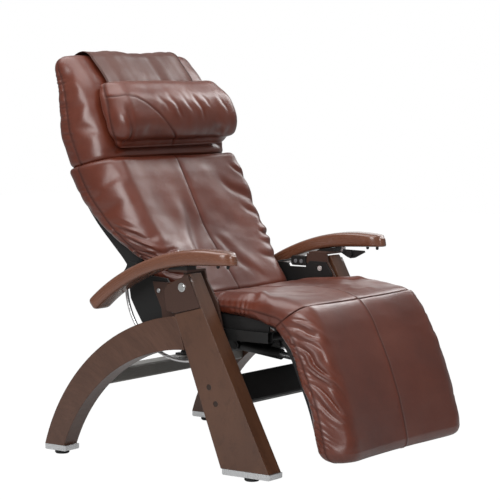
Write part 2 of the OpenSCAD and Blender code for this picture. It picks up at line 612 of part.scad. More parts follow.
box_in = bracket_in + 1;
box_z = [519, 547];
box_y = [-53, -2];
function panel_spot(k) = [box_y[0] + 14 + 20 * k, (box_z[0] + box_z[1]) / 2 - 1];
module switch_box() color(black) difference() {
    slab(box_in, side_in - 5)
        polygon([[box_y[0] - 4, box_z[0]], [box_y[1] - 5, box_z[0]], [box_y[1], box_z[0] + 5], [box_y[1], box_z[1] - 5],
                 [box_y[1] - 4, box_z[1]], [box_y[0] - 2, box_z[1]], [box_y[0] - 0.4, 530]]);
    for (k = [0, 1]) across(panel_spot(k), box_in - 1, box_in + 8, panel_button_d + 2 * bolt_gap);
}
module panel_button(k) color(silver) across(panel_spot(k), box_in - 1.6, box_in + 4, panel_button_d);

// The lead stays outside the hip bracket and passes below it to the control unit
lead_x = plate_in + 3;
lead_route = [[lead_x + 3, -1.7, 533], [lead_x + 3, 6, 533], [lead_x + 3, 24, 531], [lead_x + 3, 60, 524], [lead_x + 1, 100, 504], [lead_x, 126, 470],
              [lead_x, 132, 436], [lead_x - 1, 126, 406], [lead_x - 11, 106, 380], [lead_x - 32, 84, 369],
              [lead_x - 63, 62, 376], [lead_x - 99, 55, 386], [100, 55, 388],
              [0, 55, 388], [unit_x + 105, 55, 386], [unit_x + 87, 52, 374], [unit_x + 85, 42, 357], [unit_x + 85, 34, 351], [unit_x + 85, 28.3, 350]];
lead_d = 5;
module switch_lead() color(black) {
    n = 72;
    m = 8;
    line = spline(lead_route, n);
    rings = [for (i = [0:n])
        let (t = unit(line[min(i + 1, n)] - line[max(i - 1, 0)]), u = unit(cross(t, [0.2, 0.3, 1])), v = cross(t, u))
        [for (j = [0:m - 1]) line[i] + lead_d / 2 * (cos(360 * j / m) * u + sin(360 * j / m) * v)]];
    sides = [for (i = [0:n - 1], j = [0:m - 1])
        let (a = i * m + j, b = i * m + (j + 1) % m) each [[a, b, b + m], [a, b + m, a + m]]];
    caps = concat([for (j = [1:m - 2]) [0, j + 1, j]], [for (j = [1:m - 2]) [n * m, n * m + j, n * m + j + 1]]);
    polyhedron([for (q = rings) each q], concat(sides, caps), convexity = 8);
}

lever_hinge = [-150, arm_z(-150, arm_r - arm_t) - 10.69];
lever_x = arm_in + 14;
lever_pin_d = 5;
module lock_lever() color(black) {
    difference() {
        slab(lever_x - 3, lever_x + 3)
            polygon([lever_hinge + [8, -4], lever_hinge + [6, 4], lever_hinge + [-78, 3], lever_hinge + [-80, -2],
                     lever_hinge + [-44, -20], lever_hinge + [-30, -22], lever_hinge + [-18, -18]]);
        across(lever_hinge, lever_x - 5, lever_x + 5, lever_pin_d + 2 * run_gap);
    }
    across(lever_hinge + [-30, -8], lever_x - 9, lever_x - 3, 12);
    across(lever_hinge + [-30, -8], lever_x - 13, lever_x - 9, 20);
}
module lever_pivot() color(silver) {
    across(lever_hinge, lever_x - 3.3, lever_x + 8, lever_pin_d);
    across(lever_hinge, lever_x - 5, lever_x - 3.3, lever_pin_d + 4);
    slab(lever_x + 3.3, lever_x + 8)
        polygon(concat(arc(lever_hinge, 6, 180, 360, 8),
                       [for (y = [6, -1]) [lever_hinge[0] + y, arm_z(lever_hinge[0] + y, arm_r - arm_t) - 0.15]],
                       [lever_hinge + [-6, 10]]));
}

// ---- Back ----
head_line = part_of(spline(head_rear, 20), 0, 15);
back_board_w = bracket_in - 24;
head_board_w = head_half_w - 58;
back_depth = [60, 56, 40, 30, 24, 22];
head_depth = [22, 22, 22, 20, 18, 16];
shell_start = 5;
on_board = seat_gap + board_t + seat_gap;
bar_x = [back_board_w - 63, back_board_w - 41];
module back_board() color(black) {
    board(back_line, seat_gap, seat_gap + board_t, back_board_w);
    board(head_line, seat_gap, seat_gap + board_t, head_board_w);
}
function spots(line, deep, a, b, less) =
    [for (k = [a:b])
        let (t = unit(line[min(k + 1, len(line) - 1)] - line[max(k - 1, 0)])) line[k] + (deep[k] - less) * [t[1], -t[0]]];
// A moulded tray over the rear of a board, open towards it, with notches for the bars
module tray(line, depth, half_w, start, bars_to) {
    last = len(line) - 1;
    deep = [for (k = [0:last]) at(depth, k * (len(depth) - 1) / last)];
    way = concat([2 * line[0] - line[1]], part_of(line, 0, bars_to), bars_to == last ? [2 * line[last] - line[last - 1]] : []);
    difference() {
        slab(-half_w, half_w)
            polygon(concat(part_of(moved(line, on_board), start, last), reversed(spots(line, deep, start, last, 0))));
        slab(-half_w + shell_wall, half_w - shell_wall)
            polygon(concat(part_of(moved(line, 1), start + 1, last - 1), reversed(spots(line, deep, start + 1, last - 1, shell_wall))));
        both() slab(bar_x[0] - seat_gap, bar_x[1] + seat_gap) polygon(band(way, 1, on_board + back_bar_t + seat_gap));
    }
}
module back_shell() color(black) {
    tray(back_line, back_depth, back_board_w, shell_start, 24);
    tray(head_line, head_depth, head_board_w, 0, 13);
}
module back_bars() color(black) both() {
    low = part_of(back_line, 1, 24);
    high = part_of(head_line, 0, 12);
    slab(bar_x[0], bar_x[1])
        polygon(concat(moved(low, on_board), moved(high, on_board),
                       reversed(moved(high, on_board + back_bar_t)), reversed(moved(low, on_board + back_bar_t))));
    // feet that reach out to the hip brackets, below the shell
    slab(bar_x[1] - 1, bracket_in - seat_gap) polygon(band(part_of(back_line, 1, 4), on_board, on_board + back_bar_t));
}
module massage_motors() color(black) both() for (k = [9, 15]) {
    t = unit(back_line[k + 1] - back_line[k - 1]);
    n = [t[1], -t[0]];
    p = back_line[k] + n * (seat_gap + board_t);
    along(p, n, 90, 0.8, 12, 60);
    along(p, n, 90, 11, 13.5, 24);
}
module back_cushion() color(leather)
    pad(back_front, back_rear,
        [hip_w - 2, hip_w + 2, back_half_w - 8, back_half_w - 2, back_half_w, back_half_w + 1, back_half_w - 3],
        0.34, 8, back_end, 24, side_roll, groove);
module head_cushion() color(leather)
    pad(head_front, head_rear, [head_half_w - 1, head_half_w + 1, head_half_w + 1, head_half_w, head_half_w - 4],
        0.3, 6, head_end, 20, 0, 0);
module head_pillow() color(leather)
    pad(pillow_front, pillow_rear,
        [pillow_half_w - 12, pillow_half_w, pillow_half_w + 1, pillow_half_w - 2, pillow_half_w - 14],
        0.42, 4, pillow_end, 12, 0, 0);

// The strap lies on the head cushion: up its front, over its rounded top and down behind it
module pillow_strap() color(leather) {
    f = spline(head_front, 14);
    r = spline(head_rear, 14);
    way = unit(f[14] + r[14] - f[13] - r[13]);
    n = unit(r[14] - f[14]);
    over = [for (a = [15, 40, 65, 90]) f[14] + way * head_end[1] * sin(a) + n * head_end[1] * (1 - cos(a))];
    back = [for (a = [90, 60, 35, 10]) r[14] + way * head_end[1] * sin(a) - n * head_end[1] * (1 - cos(a))];
    line = concat(part_of(f, 7, 14), over, back, [r[13], r[12], r[11]]);
    slab(-strap_half_w, strap_half_w) polygon(band(line, -1.1, -1.1 - strap_t));
}

// ---- Leg rest ----
leg_line = spline(leg_rear, 24);
leg_board_w = 262;
leg_depth = [28, 28, 26, 26, 22, 18];
module leg_board() color(black) difference() {
    board(leg_line, -seat_gap - board_t, -seat_gap, leg_board_w);
    knee_cut();
}
// Removes what would lie behind the crease at the knee
module knee_cut() {
    low = knee - 0.5 * [-crease_down[1], crease_down[0]];
    slab(-leg_half_w - 30, leg_half_w + 30)
        polygon([low, low + 110 * turned(crease_up, [0, 0], -crease_half), [-300, 620], [-200, 400], low + 110 * crease_down]);
}
function leg_deep(k) = at(leg_depth, k * (len(leg_depth) - 1) / (len(leg_line) - 1));
function leg_spot(k, d) =
    let (t = unit(leg_line[min(k + 1, len(leg_line) - 1)] - leg_line[max(k - 1, 0)])) leg_line[k] - d * [t[1], -t[0]];
module leg_shell() color(black) {
    last = len(leg_line) - 1;
    start = 2;
    difference() {
        slab(-leg_board_w, leg_board_w)
            polygon(concat([for (k = [start:last]) leg_spot(k, on_board)], [for (k = [last:-1:start]) leg_spot(k, leg_deep(k))]));
        slab(-leg_board_w + shell_wall, leg_board_w - shell_wall)
            polygon(concat([for (k = [start + 1:last - 1]) leg_spot(k, 1)], [for (k = [last - 1:-1:start + 1]) leg_spot(k, leg_deep(k) - shell_wall)]));
    }
    // lever that the leg drive pushes
    for (s = [-1, 1]) difference() {
        slab(-leg_drive_x + s * 15 - 3, -leg_drive_x + s * 15 + 3)
            polygon(concat(arc(leg_pin, 12, -100, 80, 10), [leg_spot(5, leg_deep(5) - 2), leg_spot(9, leg_deep(9) - 2)]));
        across(leg_pin, -leg_drive_x - 40, -leg_drive_x + 40, drive_pin_d);
    }
    across(leg_pin, -leg_drive_x - 22, -leg_drive_x + 22, drive_pin_d);
}
hinge_x = [seat_slot_x - lug_t / 2 - 1 - lug_t, seat_slot_x - lug_t / 2 - 1];
module leg_hinges() color(black) {
    both() difference() {
        slab(hinge_x[0], hinge_x[1])
            polygon(concat(arc(knee, 11, -20, 180, 8), [[-432, 404], [-412, 362], [-401.5, 360.5], [-393, 374], [-382, 388], [-386, 410]]));
        across(knee, hinge_x[0] - 4, hinge_x[1] + 4, knee_pin_d);
    }
    both() across(knee, hinge_x[0] - 3, seat_slot_x + lug_t / 2 + 3, knee_pin_d);
}
module leg_cushion() color(leather) difference() {
    pad(leg_front, leg_rear,
        [leg_half_w - 5, leg_half_w - 3, leg_half_w, leg_half_w + 1, leg_half_w + 1, leg_half_w, leg_half_w - 2],
        0.38, 7, leg_end, 24, side_roll, groove);
    knee_cut();
    // pockets for the knee hinges
    both() slab(seat_slot_x - 13, seat_slot_x + 8)
        polygon(concat(arc(knee, 14, 20, 190, 10), [[-440, 404], [-420, 356], [-380, 356], [-340, 400]]));
}

// ---- Assembly ----
module placed() translate([0, frame_shift, 0]) children();
placed() front_leg(true);  // front_leg_left
placed() front_leg(false);  // front_leg_right
placed() rear_leg(true);  // rear_leg_left
placed() rear_leg(false);  // rear_leg_right
placed() front_crossbeam();
placed() rear_crossbeam();
placed() pivot_cover(true);  // pivot_cover_left
placed() pivot_cover(false);  // pivot_cover_right
placed() foot_plates();
placed() rubber_feet();
placed() beam_bolts();
placed() bolt_plugs();
placed() beam_dowels();
placed() main_axles();
placed() recline_drive_foot();
placed() recline_drive_housing();
placed() recline_drive_rod();
placed() pivot_plate(true);  // pivot_plate_left
placed() pivot_plate(false);  // pivot_plate_right
placed() plate_screws();
placed() axle_bushes();
placed() hip_brackets();
placed() seat_rails();
placed() seat_cross_tubes();
placed() seat_pan();
placed() hip_shell();
placed() chrome_hoops();
placed() seat_cushion();
placed() recline_clevis();
placed() leg_drive_hanger();
placed() control_unit();
placed() arm_bracket(true);  // arm_bracket_left
placed() arm_bracket(false);  // arm_bracket_right
placed() arm_spacers();
placed() armrest(true);  // armrest_left
placed() armrest(false);  // armrest_right
placed() switch_box();
placed() switch_lead();
placed() lever_pivot();
placed() back_bars();
placed() back_board();
placed() back_shell();
placed() massage_motors();
placed() back_cushion();
placed() head_cushion();
placed() head_pillow();
placed() pillow_strap();
placed() leg_hinges();
placed() leg_board();
placed() leg_shell();
placed() leg_cushion();
placed() leg_drive_housing();
placed() leg_drive_rod();
placed() arm_button(true, 0);  // arm_button_1
placed() arm_button(true, 1);  // arm_button_2
placed() arm_button(false, 0);  // arm_button_3
placed() arm_button(false, 1);  // arm_button_4
placed() panel_button(0);  // panel_button_up
placed() panel_button(1);  // panel_button_down
placed() lock_lever();
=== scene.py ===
import bpy, json, math
import numpy as np
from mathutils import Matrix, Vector


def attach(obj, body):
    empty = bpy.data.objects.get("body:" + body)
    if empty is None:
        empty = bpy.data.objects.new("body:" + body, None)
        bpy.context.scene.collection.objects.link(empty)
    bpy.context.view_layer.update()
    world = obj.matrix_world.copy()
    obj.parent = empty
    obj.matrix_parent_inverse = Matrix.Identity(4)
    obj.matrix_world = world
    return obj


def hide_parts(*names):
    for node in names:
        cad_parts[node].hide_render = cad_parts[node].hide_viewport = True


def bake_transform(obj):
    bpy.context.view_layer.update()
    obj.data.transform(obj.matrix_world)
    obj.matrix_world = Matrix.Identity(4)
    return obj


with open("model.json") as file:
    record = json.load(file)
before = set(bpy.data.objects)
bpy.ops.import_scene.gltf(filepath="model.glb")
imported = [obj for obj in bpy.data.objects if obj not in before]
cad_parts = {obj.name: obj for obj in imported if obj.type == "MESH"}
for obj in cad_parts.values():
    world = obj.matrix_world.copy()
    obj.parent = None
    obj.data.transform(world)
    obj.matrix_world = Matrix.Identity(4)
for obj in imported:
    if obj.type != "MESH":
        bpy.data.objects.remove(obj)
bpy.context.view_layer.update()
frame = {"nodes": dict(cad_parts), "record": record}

SHIFT = 0.0845      # added to each y of the outlines below, which puts them in the record's frame
scene = bpy.context.scene
scene.view_settings.view_transform = "Standard"


# ---------------------------------------------------------------- camera, solved from the photo's edges
def aimed(name, data, spot, direction):
    """A camera or lamp that stands at a point and looks along a direction."""
    ob = bpy.data.objects.new(name, data)
    scene.collection.objects.link(ob)
    ob.location = spot
    ob.rotation_mode = "QUATERNION"
    ob.rotation_quaternion = Vector(direction).to_track_quat("-Z", "Y")
    return ob


HEADING, DOWN = (0.806, 0.592), math.radians(5.04)
cam_data = bpy.data.cameras.new("camera")
cam_data.sensor_width = 36.0
cam_data.lens = 145.3
cam_data.clip_start, cam_data.clip_end = 0.1, 60
scene.camera = aimed("camera", cam_data, (-4.684, -3.4171, 1.100),
                     (HEADING[0] * math.cos(DOWN), HEADING[1] * math.cos(DOWN), -math.sin(DOWN)))

# ---------------------------------------------------------------- numbers and curves
HASH_X, HASH_Y, HASH_SEED, HASH_GAIN = 127.1, 311.7, 74.7, 43758.5453


def vnoise(x, y, seed):
    """Smooth value noise from -1 to 1, one value for each pair, from a fixed hash."""
    def eased(t):
        return t * t * t * (t * (t * 6 - 15) + 10)

    def corner(i, j):
        v = np.sin(i * HASH_X + j * HASH_Y + seed * HASH_SEED) * HASH_GAIN
        return (v - np.floor(v)) * 2 - 1

    xi, yi = np.floor(x), np.floor(y)
    xf, yf = eased(x - xi), eased(y - yi)
    a, b, c, d = corner(xi, yi), corner(xi + 1, yi), corner(xi, yi + 1), corner(xi + 1, yi + 1)
    return (a * (1 - xf) + b * xf) * (1 - yf) + (c * (1 - xf) + d * xf) * yf


def smooth(lo, hi, v):
    t = np.clip((v - lo) / (hi - lo), 0, 1)
    return t * t * (3 - 2 * t)


def along(points, ts):
    """Places on the smooth curve through points given in mm, in metres. A (y, z) point gets the shift."""
    p = np.array(points, float).reshape(len(points), -1) / 1000
    if p.shape[1] == 2:
        p[:, 0] += SHIFT
    q = np.vstack([2 * p[0] - p[1], p, 2 * p[-1] - p[-2]])
    i = np.clip(np.floor(ts).astype(int), 0, len(p) - 2)
    f = (ts - i)[:, None]
    a, b, c, d = q[i], q[i + 1], q[i + 2], q[i + 3]
    return 0.5 * (2 * b + (c - a) * f + (2 * a - 5 * b + 4 * c - d) * f ** 2
                  + (3 * b - a - 3 * c + d) * f ** 3)


def at(points, t):
    return along(points, np.array([t]))[0]


def onward(front, rear, t, back, ahead):
    """The direction in which a pair of outlines runs on at t."""
    g = at(front, t + ahead) + at(rear, t + ahead) - at(front, t - back) - at(rear, t - back)
    return g / np.linalg.norm(g)


def lengths(points):
    return np.concatenate([[0], np.cumsum(np.linalg.norm(np.diff(points, axis=0), axis=1))])


# ---------------------------------------------------------------- meshes
def quads(rows, n):
    """Faces between closed rings of n points each."""
    return [(i * n + j, i * n + (j + 1) % n, (i + 1) * n + (j + 1) % n, (i + 1) * n + j)
            for i in range(rows - 1) for j in range(n)]


def new_object(name, verts, faces, finish):
    me = bpy.data.meshes.new(name)
    me.from_pydata([tuple(v) for v in verts], [], faces)
    me.validate()
    me.update()
    me.polygons.foreach_set("use_smooth", [True] * len(me.polygons))
    me.materials.append(finish)
    ob = bpy.data.objects.new(name, me)
    scene.collection.objects.link(ob)
    return ob


def read(me, what):
    """The places ("co") or normals ("normal") of a mesh's points."""
    a = np.empty(len(me.vertices) * 3)
    me.vertices.foreach_get(what, a)
    return a.reshape(-1, 3)


def put(ob, co):
    ob.data.vertices.foreach_set("co", np.ascontiguousarray(co, float).ravel())
    ob.data.update()


def give(ob, name, values):
    att = ob.data.attributes.get(name) or ob.data.attributes.new(name, "FLOAT", "POINT")
    att.data.foreach_set("value", np.asarray(values, np.float32))


def take(ob, name):
    a = np.empty(len(ob.data.vertices), np.float32)
    ob.data.attributes[name].data.foreach_get("value", a)
    return a.astype(float)


def bake(ob):
    """Applies every modifier on the piece."""
    dg = bpy.context.evaluated_depsgraph_get()
    dg.update()
    me = bpy.data.meshes.new_from_object(ob.evaluated_get(dg))
    ob.modifiers.clear()
    old, ob.data = ob.data, me
    bpy.data.meshes.remove(old)


def relax(values, edges, held):
    """Moves each point's value half-way to the mean of its neighbours, apart from the held points."""
    total = np.zeros_like(values)
    n = np.zeros(len(values))
    for a, b in ((0, 1), (1, 0)):
        np.add.at(total, edges[:, a], values[edges[:, b]])
    np.add.at(n, edges.ravel(), 1)
    out = values + (total / np.maximum(n, 1)[:, None] - values) * 0.5
    out[held] = values[held]
    return out


# ---------------------------------------------------------------- nodes of materials
def material(name):
    m = bpy.data.materials.new(name)
    m.use_nodes = True
    return m, m.node_tree, m.node_tree.nodes["Principled BSDF"]


def node(nt, kind, **values):
    """A node with the named inputs or properties set."""
    n = nt.nodes.new(kind)
    for k, v in values.items():
        if k in n.inputs:
            n.inputs[k].default_value = v
        else:
            setattr(n, k, v)
    return n


def feed(nt, sock, v):
    """Links a socket into another, or sets it to a number or colour."""
    if isinstance(v, bpy.types.NodeSocket):
        nt.links.new(v, sock)
    else:
        sock.default_value = v if sock.type == "VALUE" else (*v, 1)


def place(nt, scale=(1, 1, 1), source=None):
    """The object's own coordinates, or another vector, scaled."""
    if source is None:
        source = node(nt, "ShaderNodeTexCoord").outputs["Object"]
    mp = node(nt, "ShaderNodeMapping", Scale=scale)
    nt.links.new(source, mp.inputs["Vector"])
    return mp.outputs["Vector"]


def noise(nt, vec, scale, detail=3, rough=0.5):
    n = node(nt, "ShaderNodeTexNoise", Scale=scale, Detail=detail, Roughness=rough)
    nt.links.new(vec, n.inputs["Vector"])
    return n.outputs["Fac"]


def ramp(nt, fac, stops):
    r = node(nt, "ShaderNodeValToRGB")
    el = r.color_ramp.elements
    while len(el) < len(stops):
        el.new(0.5)
    for e, (p, c) in zip(el, stops):
        e.position = p
        e.color = (*c, 1)
    nt.links.new(fac, r.inputs["Fac"])
    return r.outputs["Color"]


def mix(nt, fac, a, b, how="MIX"):
    n = node(nt, "ShaderNodeMix", data_type="RGBA", blend_type=how)
    for i, v in ((0, fac), (6, a), (7, b)):
        feed(nt, n.inputs[i], v)
    return n.outputs[2]


def spread(nt, fac, lo, hi, a=0.0, b=1.0):
    """Maps a to b onto lo to hi."""
    n = node(nt, "ShaderNodeMapRange")
    for i, v in enumerate((fac, a, b, lo, hi)):
        feed(nt, n.inputs[i], v)
    return n.outputs[0]


def maths(nt, op, a, b=0.0):
    n = node(nt, "ShaderNodeMath", operation=op)
    feed(nt, n.inputs[0], a)
    feed(nt, n.inputs[1], b)
    return n.outputs[0]


def times(nt, a, b):
    return maths(nt, "MULTIPLY", a, b)


def bump(nt, bsdf, height, strength, distance, before=None, edge=0.0):
    """Bump on top of an earlier normal, or on edges rounded by a radius."""
    n = node(nt, "ShaderNodeBump", Strength=strength, Distance=distance)
    nt.links.new(height, n.inputs["Height"])
    if edge:
        before = node(nt, "ShaderNodeBevel", samples=6, Radius=edge).outputs[0]
    if before is not None:
        nt.links.new(before, n.inputs["Normal"])
    nt.links.new(n.outputs["Normal"], bsdf.inputs["Normal"])
    return n.outputs["Normal"]


# ---------------------------------------------------------------- materials
def leather(name, mid, dark, pale, rough, coat):
    """Clouds of three browns with fine pores. One attribute paints shade into seams, folds and gaps, where the
    leather is also duller, and the other paints highlights onto the ridges.
    """
    m, nt, b = material(name)
    vec = place(nt)
    painted_shade, painted_highlight = [node(nt, "ShaderNodeAttribute", attribute_name=k).outputs["Fac"] for k in ("painted_shade", "painted_highlight")]
    painted_fold_shade = [c * k for c, k in zip(dark, (0.35, 0.30, 0.30))]
    painted_ridge_highlight = [c * k for c, k in zip(pale, (1.50, 1.55, 1.45))]
    col = ramp(nt, noise(nt, vec, 4.5, 4, 0.55), [(0.3, dark), (0.52, mid), (0.75, pale)])
    # painted shade: seams, folds and gaps are darkened
    col = mix(nt, times(nt, painted_shade, 0.75), col, painted_fold_shade)
    # painted highlight: the ridges of the gathers are lightened
    col = mix(nt, times(nt, painted_highlight, 0.55), col, painted_ridge_highlight)
    pore = node(nt, "ShaderNodeTexVoronoi", Scale=430.0, feature="F1")
    nt.links.new(vec, pore.inputs["Vector"])
    grain = spread(nt, pore.outputs["Distance"], 1, 0, 0.15, 0.75)
    col = mix(nt, times(nt, maths(nt, "SUBTRACT", 1.0, grain), 0.18), col, dark)
    nt.links.new(col, b.inputs["Base Color"])
    dull = spread(nt, noise(nt, vec, 16, 4, 0.6), rough - 0.07, rough + 0.1, 0.3, 0.7)
    nt.links.new(maths(nt, "ADD", dull, times(nt, painted_shade, 0.35)), b.inputs["Roughness"])
    nt.links.new(times(nt, maths(nt, "SUBTRACT", 1.0, painted_shade), coat), b.inputs["Coat Weight"])
    b.inputs["Coat Roughness"].default_value = 0.28
    wrinkles = noise(nt, place(nt, (1.0, 1.6, 1.6)), 34, 3, 0.5)
    bump(nt, b, grain, 0.18, 0.0005, bump(nt, b, wrinkles, 0.10, 0.004))
    return m


def wood(name, dark, mid, pale, centre, stretch, rough, coat, edge=0.0035):
    """Bent wood: with a centre (y, z) the grain follows the arc about it."""
    m, nt, b = material(name)
    src = node(nt, "ShaderNodeTexCoord").outputs["Object"]
    if centre:
        sep = node(nt, "ShaderNodeSeparateXYZ")
        nt.links.new(src, sep.inputs[0])
        y = maths(nt, "SUBTRACT", sep.outputs["Y"], centre[0])
        z = maths(nt, "SUBTRACT", sep.outputs["Z"], centre[1])
        angle = times(nt, maths(nt, "ARCTAN2", z, y), 0.55)     # times the arcs' radius, so about metres
        radius = maths(nt, "SQRT", maths(nt, "ADD", times(nt, y, y), times(nt, z, z)))
        com = node(nt, "ShaderNodeCombineXYZ")
        for k, v in zip("XYZ", (sep.outputs["X"], angle, radius)):
            nt.links.new(v, com.inputs[k])
        src = com.outputs[0]
    vec = place(nt, stretch, src)
    band, fine = noise(nt, vec, 5, 6, 0.62), noise(nt, vec, 34, 3, 0.7)
    col = ramp(nt, band, [(0.28, dark), (0.52, mid), (0.74, pale)])
    pores = ramp(nt, fine, [(0.34, (0.55, 0.5, 0.48)), (0.48, (1, 1, 1))])
    nt.links.new(mix(nt, 0.35, col, pores, "MULTIPLY"), b.inputs["Base Color"])
    nt.links.new(spread(nt, fine, rough + 0.05, rough - 0.02, 0.3, 0.7), b.inputs["Roughness"])
    bump(nt, b, fine, 0.03, 0.0006, None, edge)
    b.inputs["Coat Weight"].default_value = coat
    b.inputs["Coat Roughness"].default_value = 0.12
    return m


def metal(name, colour, rough, scale, brushed=(1, 1, 1), metallic=1.0, vary=0.08, grain=0.05):
    """Metal, paint or plastic whose colour and roughness vary with its grain."""
    m, nt, b = material(name)
    n = noise(nt, place(nt, brushed), scale, 3, 0.6)
    lo, hi = [c * (1 - vary) for c in colour], [min(1, c * (1 + vary)) for c in colour]
    nt.links.new(ramp(nt, n, [(0.3, lo), (0.7, hi)]), b.inputs["Base Color"])
    nt.links.new(spread(nt, n, rough - 0.06, rough + 0.1, 0.3, 0.7), b.inputs["Roughness"])
    bump(nt, b, n, grain, 0.0006, None, 0.0012)
    b.inputs["Metallic"].default_value = metallic
    return m


EVEN = (1, 1, 1)
hide = leather("brown_leather", (0.128, 0.027, 0.013), (0.092, 0.018, 0.008), (0.160, 0.040, 0.021), 0.36, 0.45)
hide_strap = leather("strap_leather", (0.105, 0.036, 0.024), (0.078, 0.024, 0.016), (0.135, 0.050, 0.035),
                     0.46, 0.15)
arm_wood = wood("arm_wood", (0.150, 0.056, 0.030), (0.180, 0.070, 0.039), (0.205, 0.083, 0.048),
                (-0.1035, 0.026), (3, 0.7, 6), 0.26, 0.6, 0.0)
by_slot = {
    "dark_wood": wood("walnut_board", (0.080, 0.032, 0.016), (0.102, 0.042, 0.021), (0.126, 0.054, 0.029),
                      None, (6, 1.2, 0.9), 0.36, 0.35),
    "arm_wood": arm_wood, "upholstery": hide, "strap_leather": hide_strap,
    "black_steel": metal("black_powder_coat", (0.008, 0.008, 0.008), 0.45, 700, EVEN, 0.0, 0.25, 0.25),
    "bronze_steel": metal("bronze_steel", (0.072, 0.036, 0.026), 0.42, 90, (1, 6, 1), 0.2),
    "chrome": metal("chrome", (0.74, 0.74, 0.74), 0.32, 60, vary=0.03, grain=0.01),
    "silver_steel": metal("zinc_steel", (0.62, 0.63, 0.64), 0.28, 60, (8, 1, 8)),
    "silver_alloy": metal("brushed_alloy", (0.80, 0.81, 0.82), 0.30, 60, (1, 14, 1)),
    "black_plastic": metal("black_plastic", (0.010, 0.0095, 0.0095), 0.45, 900, EVEN, 0.0, 0.2, 0.3),
    "grey_plastic": metal("grey_plastic", (0.16, 0.16, 0.17), 0.5, 900, EVEN, 0.0, 0.15, 0.3),
    "rubber": metal("rubber", (0.03, 0.03, 0.03), 0.8, 500, EVEN, 0.0, 0.3, 0.3),
}
arch_wood = wood("walnut_arch", (0.076, 0.031, 0.017), (0.096, 0.041, 0.023), (0.119, 0.053, 0.032),
                 (0.4135, 0.0), (5, 0.9, 8), 0.36, 0.35)
by_node = {
    "rear_leg_left": arch_wood, "rear_leg_right": arch_wood,
    "front_crossbeam": metal("black_beam_paint", (0.010, 0.009, 0.009), 0.40, 40, (1, 2, 8), 0.0, 0.3),
    # the rear crossbeam's light grey, in place of dark wood, is a painted reflection of the pale floor
    "rear_crossbeam": metal("grey_beam_painted_reflection", (0.25, 0.235, 0.215), 0.42, 40, (1, 2, 8), 0.0, 0.12),
    "main_axles": metal("axle_steel", (0.75, 0.75, 0.74), 0.22, 60, (8, 1, 8)),
    "bolt_plugs": wood("plug_wood", (0.022, 0.010, 0.006), (0.030, 0.014, 0.008), (0.040, 0.019, 0.011),
                       None, (9, 9, 2), 0.5, 0.1, 0.0),
}
for sub in frame["record"]["subparts"]:
    finishes = frame["nodes"][sub["node"]].data.materials
    finishes.clear()
    finishes.append(by_node.get(sub["node"], by_slot[sub["material_slot"]]))

# ---------------------------------------------------------------- cushions
REAR_CORNER, REAR_EDGE = 0.024, 0.028   # radius of the rear corners, and how far from the side their seam is
SQUARE = 0.87                           # power of the rounded corners, 1 for a circle
CORNER_STEPS, FLAT_STEPS = 300, 400     # points of the fine outline that a ring is spaced along
END_ANGLES = (34, 62, 90)               # the rings of a rounded end, in degrees
CAP_RINGS, CAP_TUCK = (0.3, 0.65, 1.0), 0.04    # rings that close an end, and how much their sides draw in
PROBE = 0.02                            # step along the outlines in finding their direction
STARTS = (2, 14)                        # rings from an end over which the cloth begins to move
PANEL_MIDDLE = (0.05, 0.11)             # distance from the edge seam over which a panel's middle begins
SEAM_DEPTH = 0.0022
SIM_FRAMES = 16
CLOTH = dict(quality=5, mass=0.35, tension_stiffness=18, compression_stiffness=18, shear_stiffness=8,
             bending_stiffness=0.9, tension_damping=8, compression_damping=8, air_damping=2,
             use_pressure=True, uniform_pressure_force=3.2)


def ring(front, rear, half, seam, corner, inset, roll, edges, counts):
    """One closed ring about a cushion: over the front from side to side, and back along the rear.

    front and rear are its middle points (y, z), seam is where the edge seam lies between them, corner is the
    radius of the front corners in metres, and roll is how far the front rises towards the sides.
    """
    n = (front - rear) / np.linalg.norm(front - rear)
    f, r = front - n * inset, rear + n * inset
    w, thick = half - inset, np.linalg.norm(f - r)
    mid = r + n * thick * seam
    out = []
    for on_rear, edge, (nb, nf) in zip((False, True), edges, counts):
        soft, sign = (REAR_CORNER, 1) if on_rear else (corner, -1)
        phi = np.linspace(0, math.pi / 2, CORNER_STEPS)
        side = w - soft + soft * np.cos(phi) ** SQUARE
        x = np.concatenate([-side, np.linspace(-(w - soft), w - soft, FLAT_STEPS)[1:-1], side[::-1]])
        b = np.concatenate([np.sin(phi) ** SQUARE, np.ones(FLAT_STEPS - 2), np.sin(phi[::-1]) ** SQUARE])
        h = -thick * seam * b if on_rear else (thick * (1 - seam) + roll * (x / w) ** 2) * b
        if on_rear:
            x, h = x[::-1], h[::-1]
        ln = np.concatenate([[0], np.cumsum(np.hypot(np.diff(x), np.diff(h)))])
        inner = ln[np.argmax(sign * x[: len(x) // 2 + 1] < w - edge)]
        middle = np.interp(0.5, np.linspace(0, 1, len(ln)), ln)
        stops = [0, inner, middle, ln[-1] - inner, ln[-1]]
        ts = np.concatenate([np.linspace(a, b, c, endpoint=False)
                             for a, b, c in zip(stops, stops[1:], (nb, nf, nf, nb))])
        xs, hs = np.interp(ts, ln, x), np.interp(ts, ln, h)
        out.append(np.stack([xs, mid[0] + n[0] * hs, mid[1] + n[1] * hs], 1))
    return np.vstack(out), mid


def inflate(ob, held, slack):
    """Runs pressurised cloth on a piece whose held points stay. Returns how far each point moved."""
    start = read(ob.data, "co")
    ob.vertex_groups.new(name="held").add([int(v) for v in np.nonzero(held)[0]], 1.0, "REPLACE")
    cloth = ob.modifiers.new("cloth", "CLOTH")
    for k, v in CLOTH.items():
        setattr(cloth.settings, k, v)
    cloth.settings.effector_weights.gravity = 0
    cloth.settings.vertex_group_mass = "held"
    cloth.settings.shrink_min = -slack
    cloth.collision_settings.use_collision = False
    scene.frame_start, scene.frame_end = 1, SIM_FRAMES
    cloth.point_cache.frame_start, cloth.point_cache.frame_end = 1, SIM_FRAMES
    for f in range(1, SIM_FRAMES + 1):
        scene.frame_set(f)
    move = read(ob.evaluated_get(bpy.context.evaluated_depsgraph_get()).to_mesh(), "co") - start
    ob.modifiers.clear()
    scene.frame_set(1)
    return move


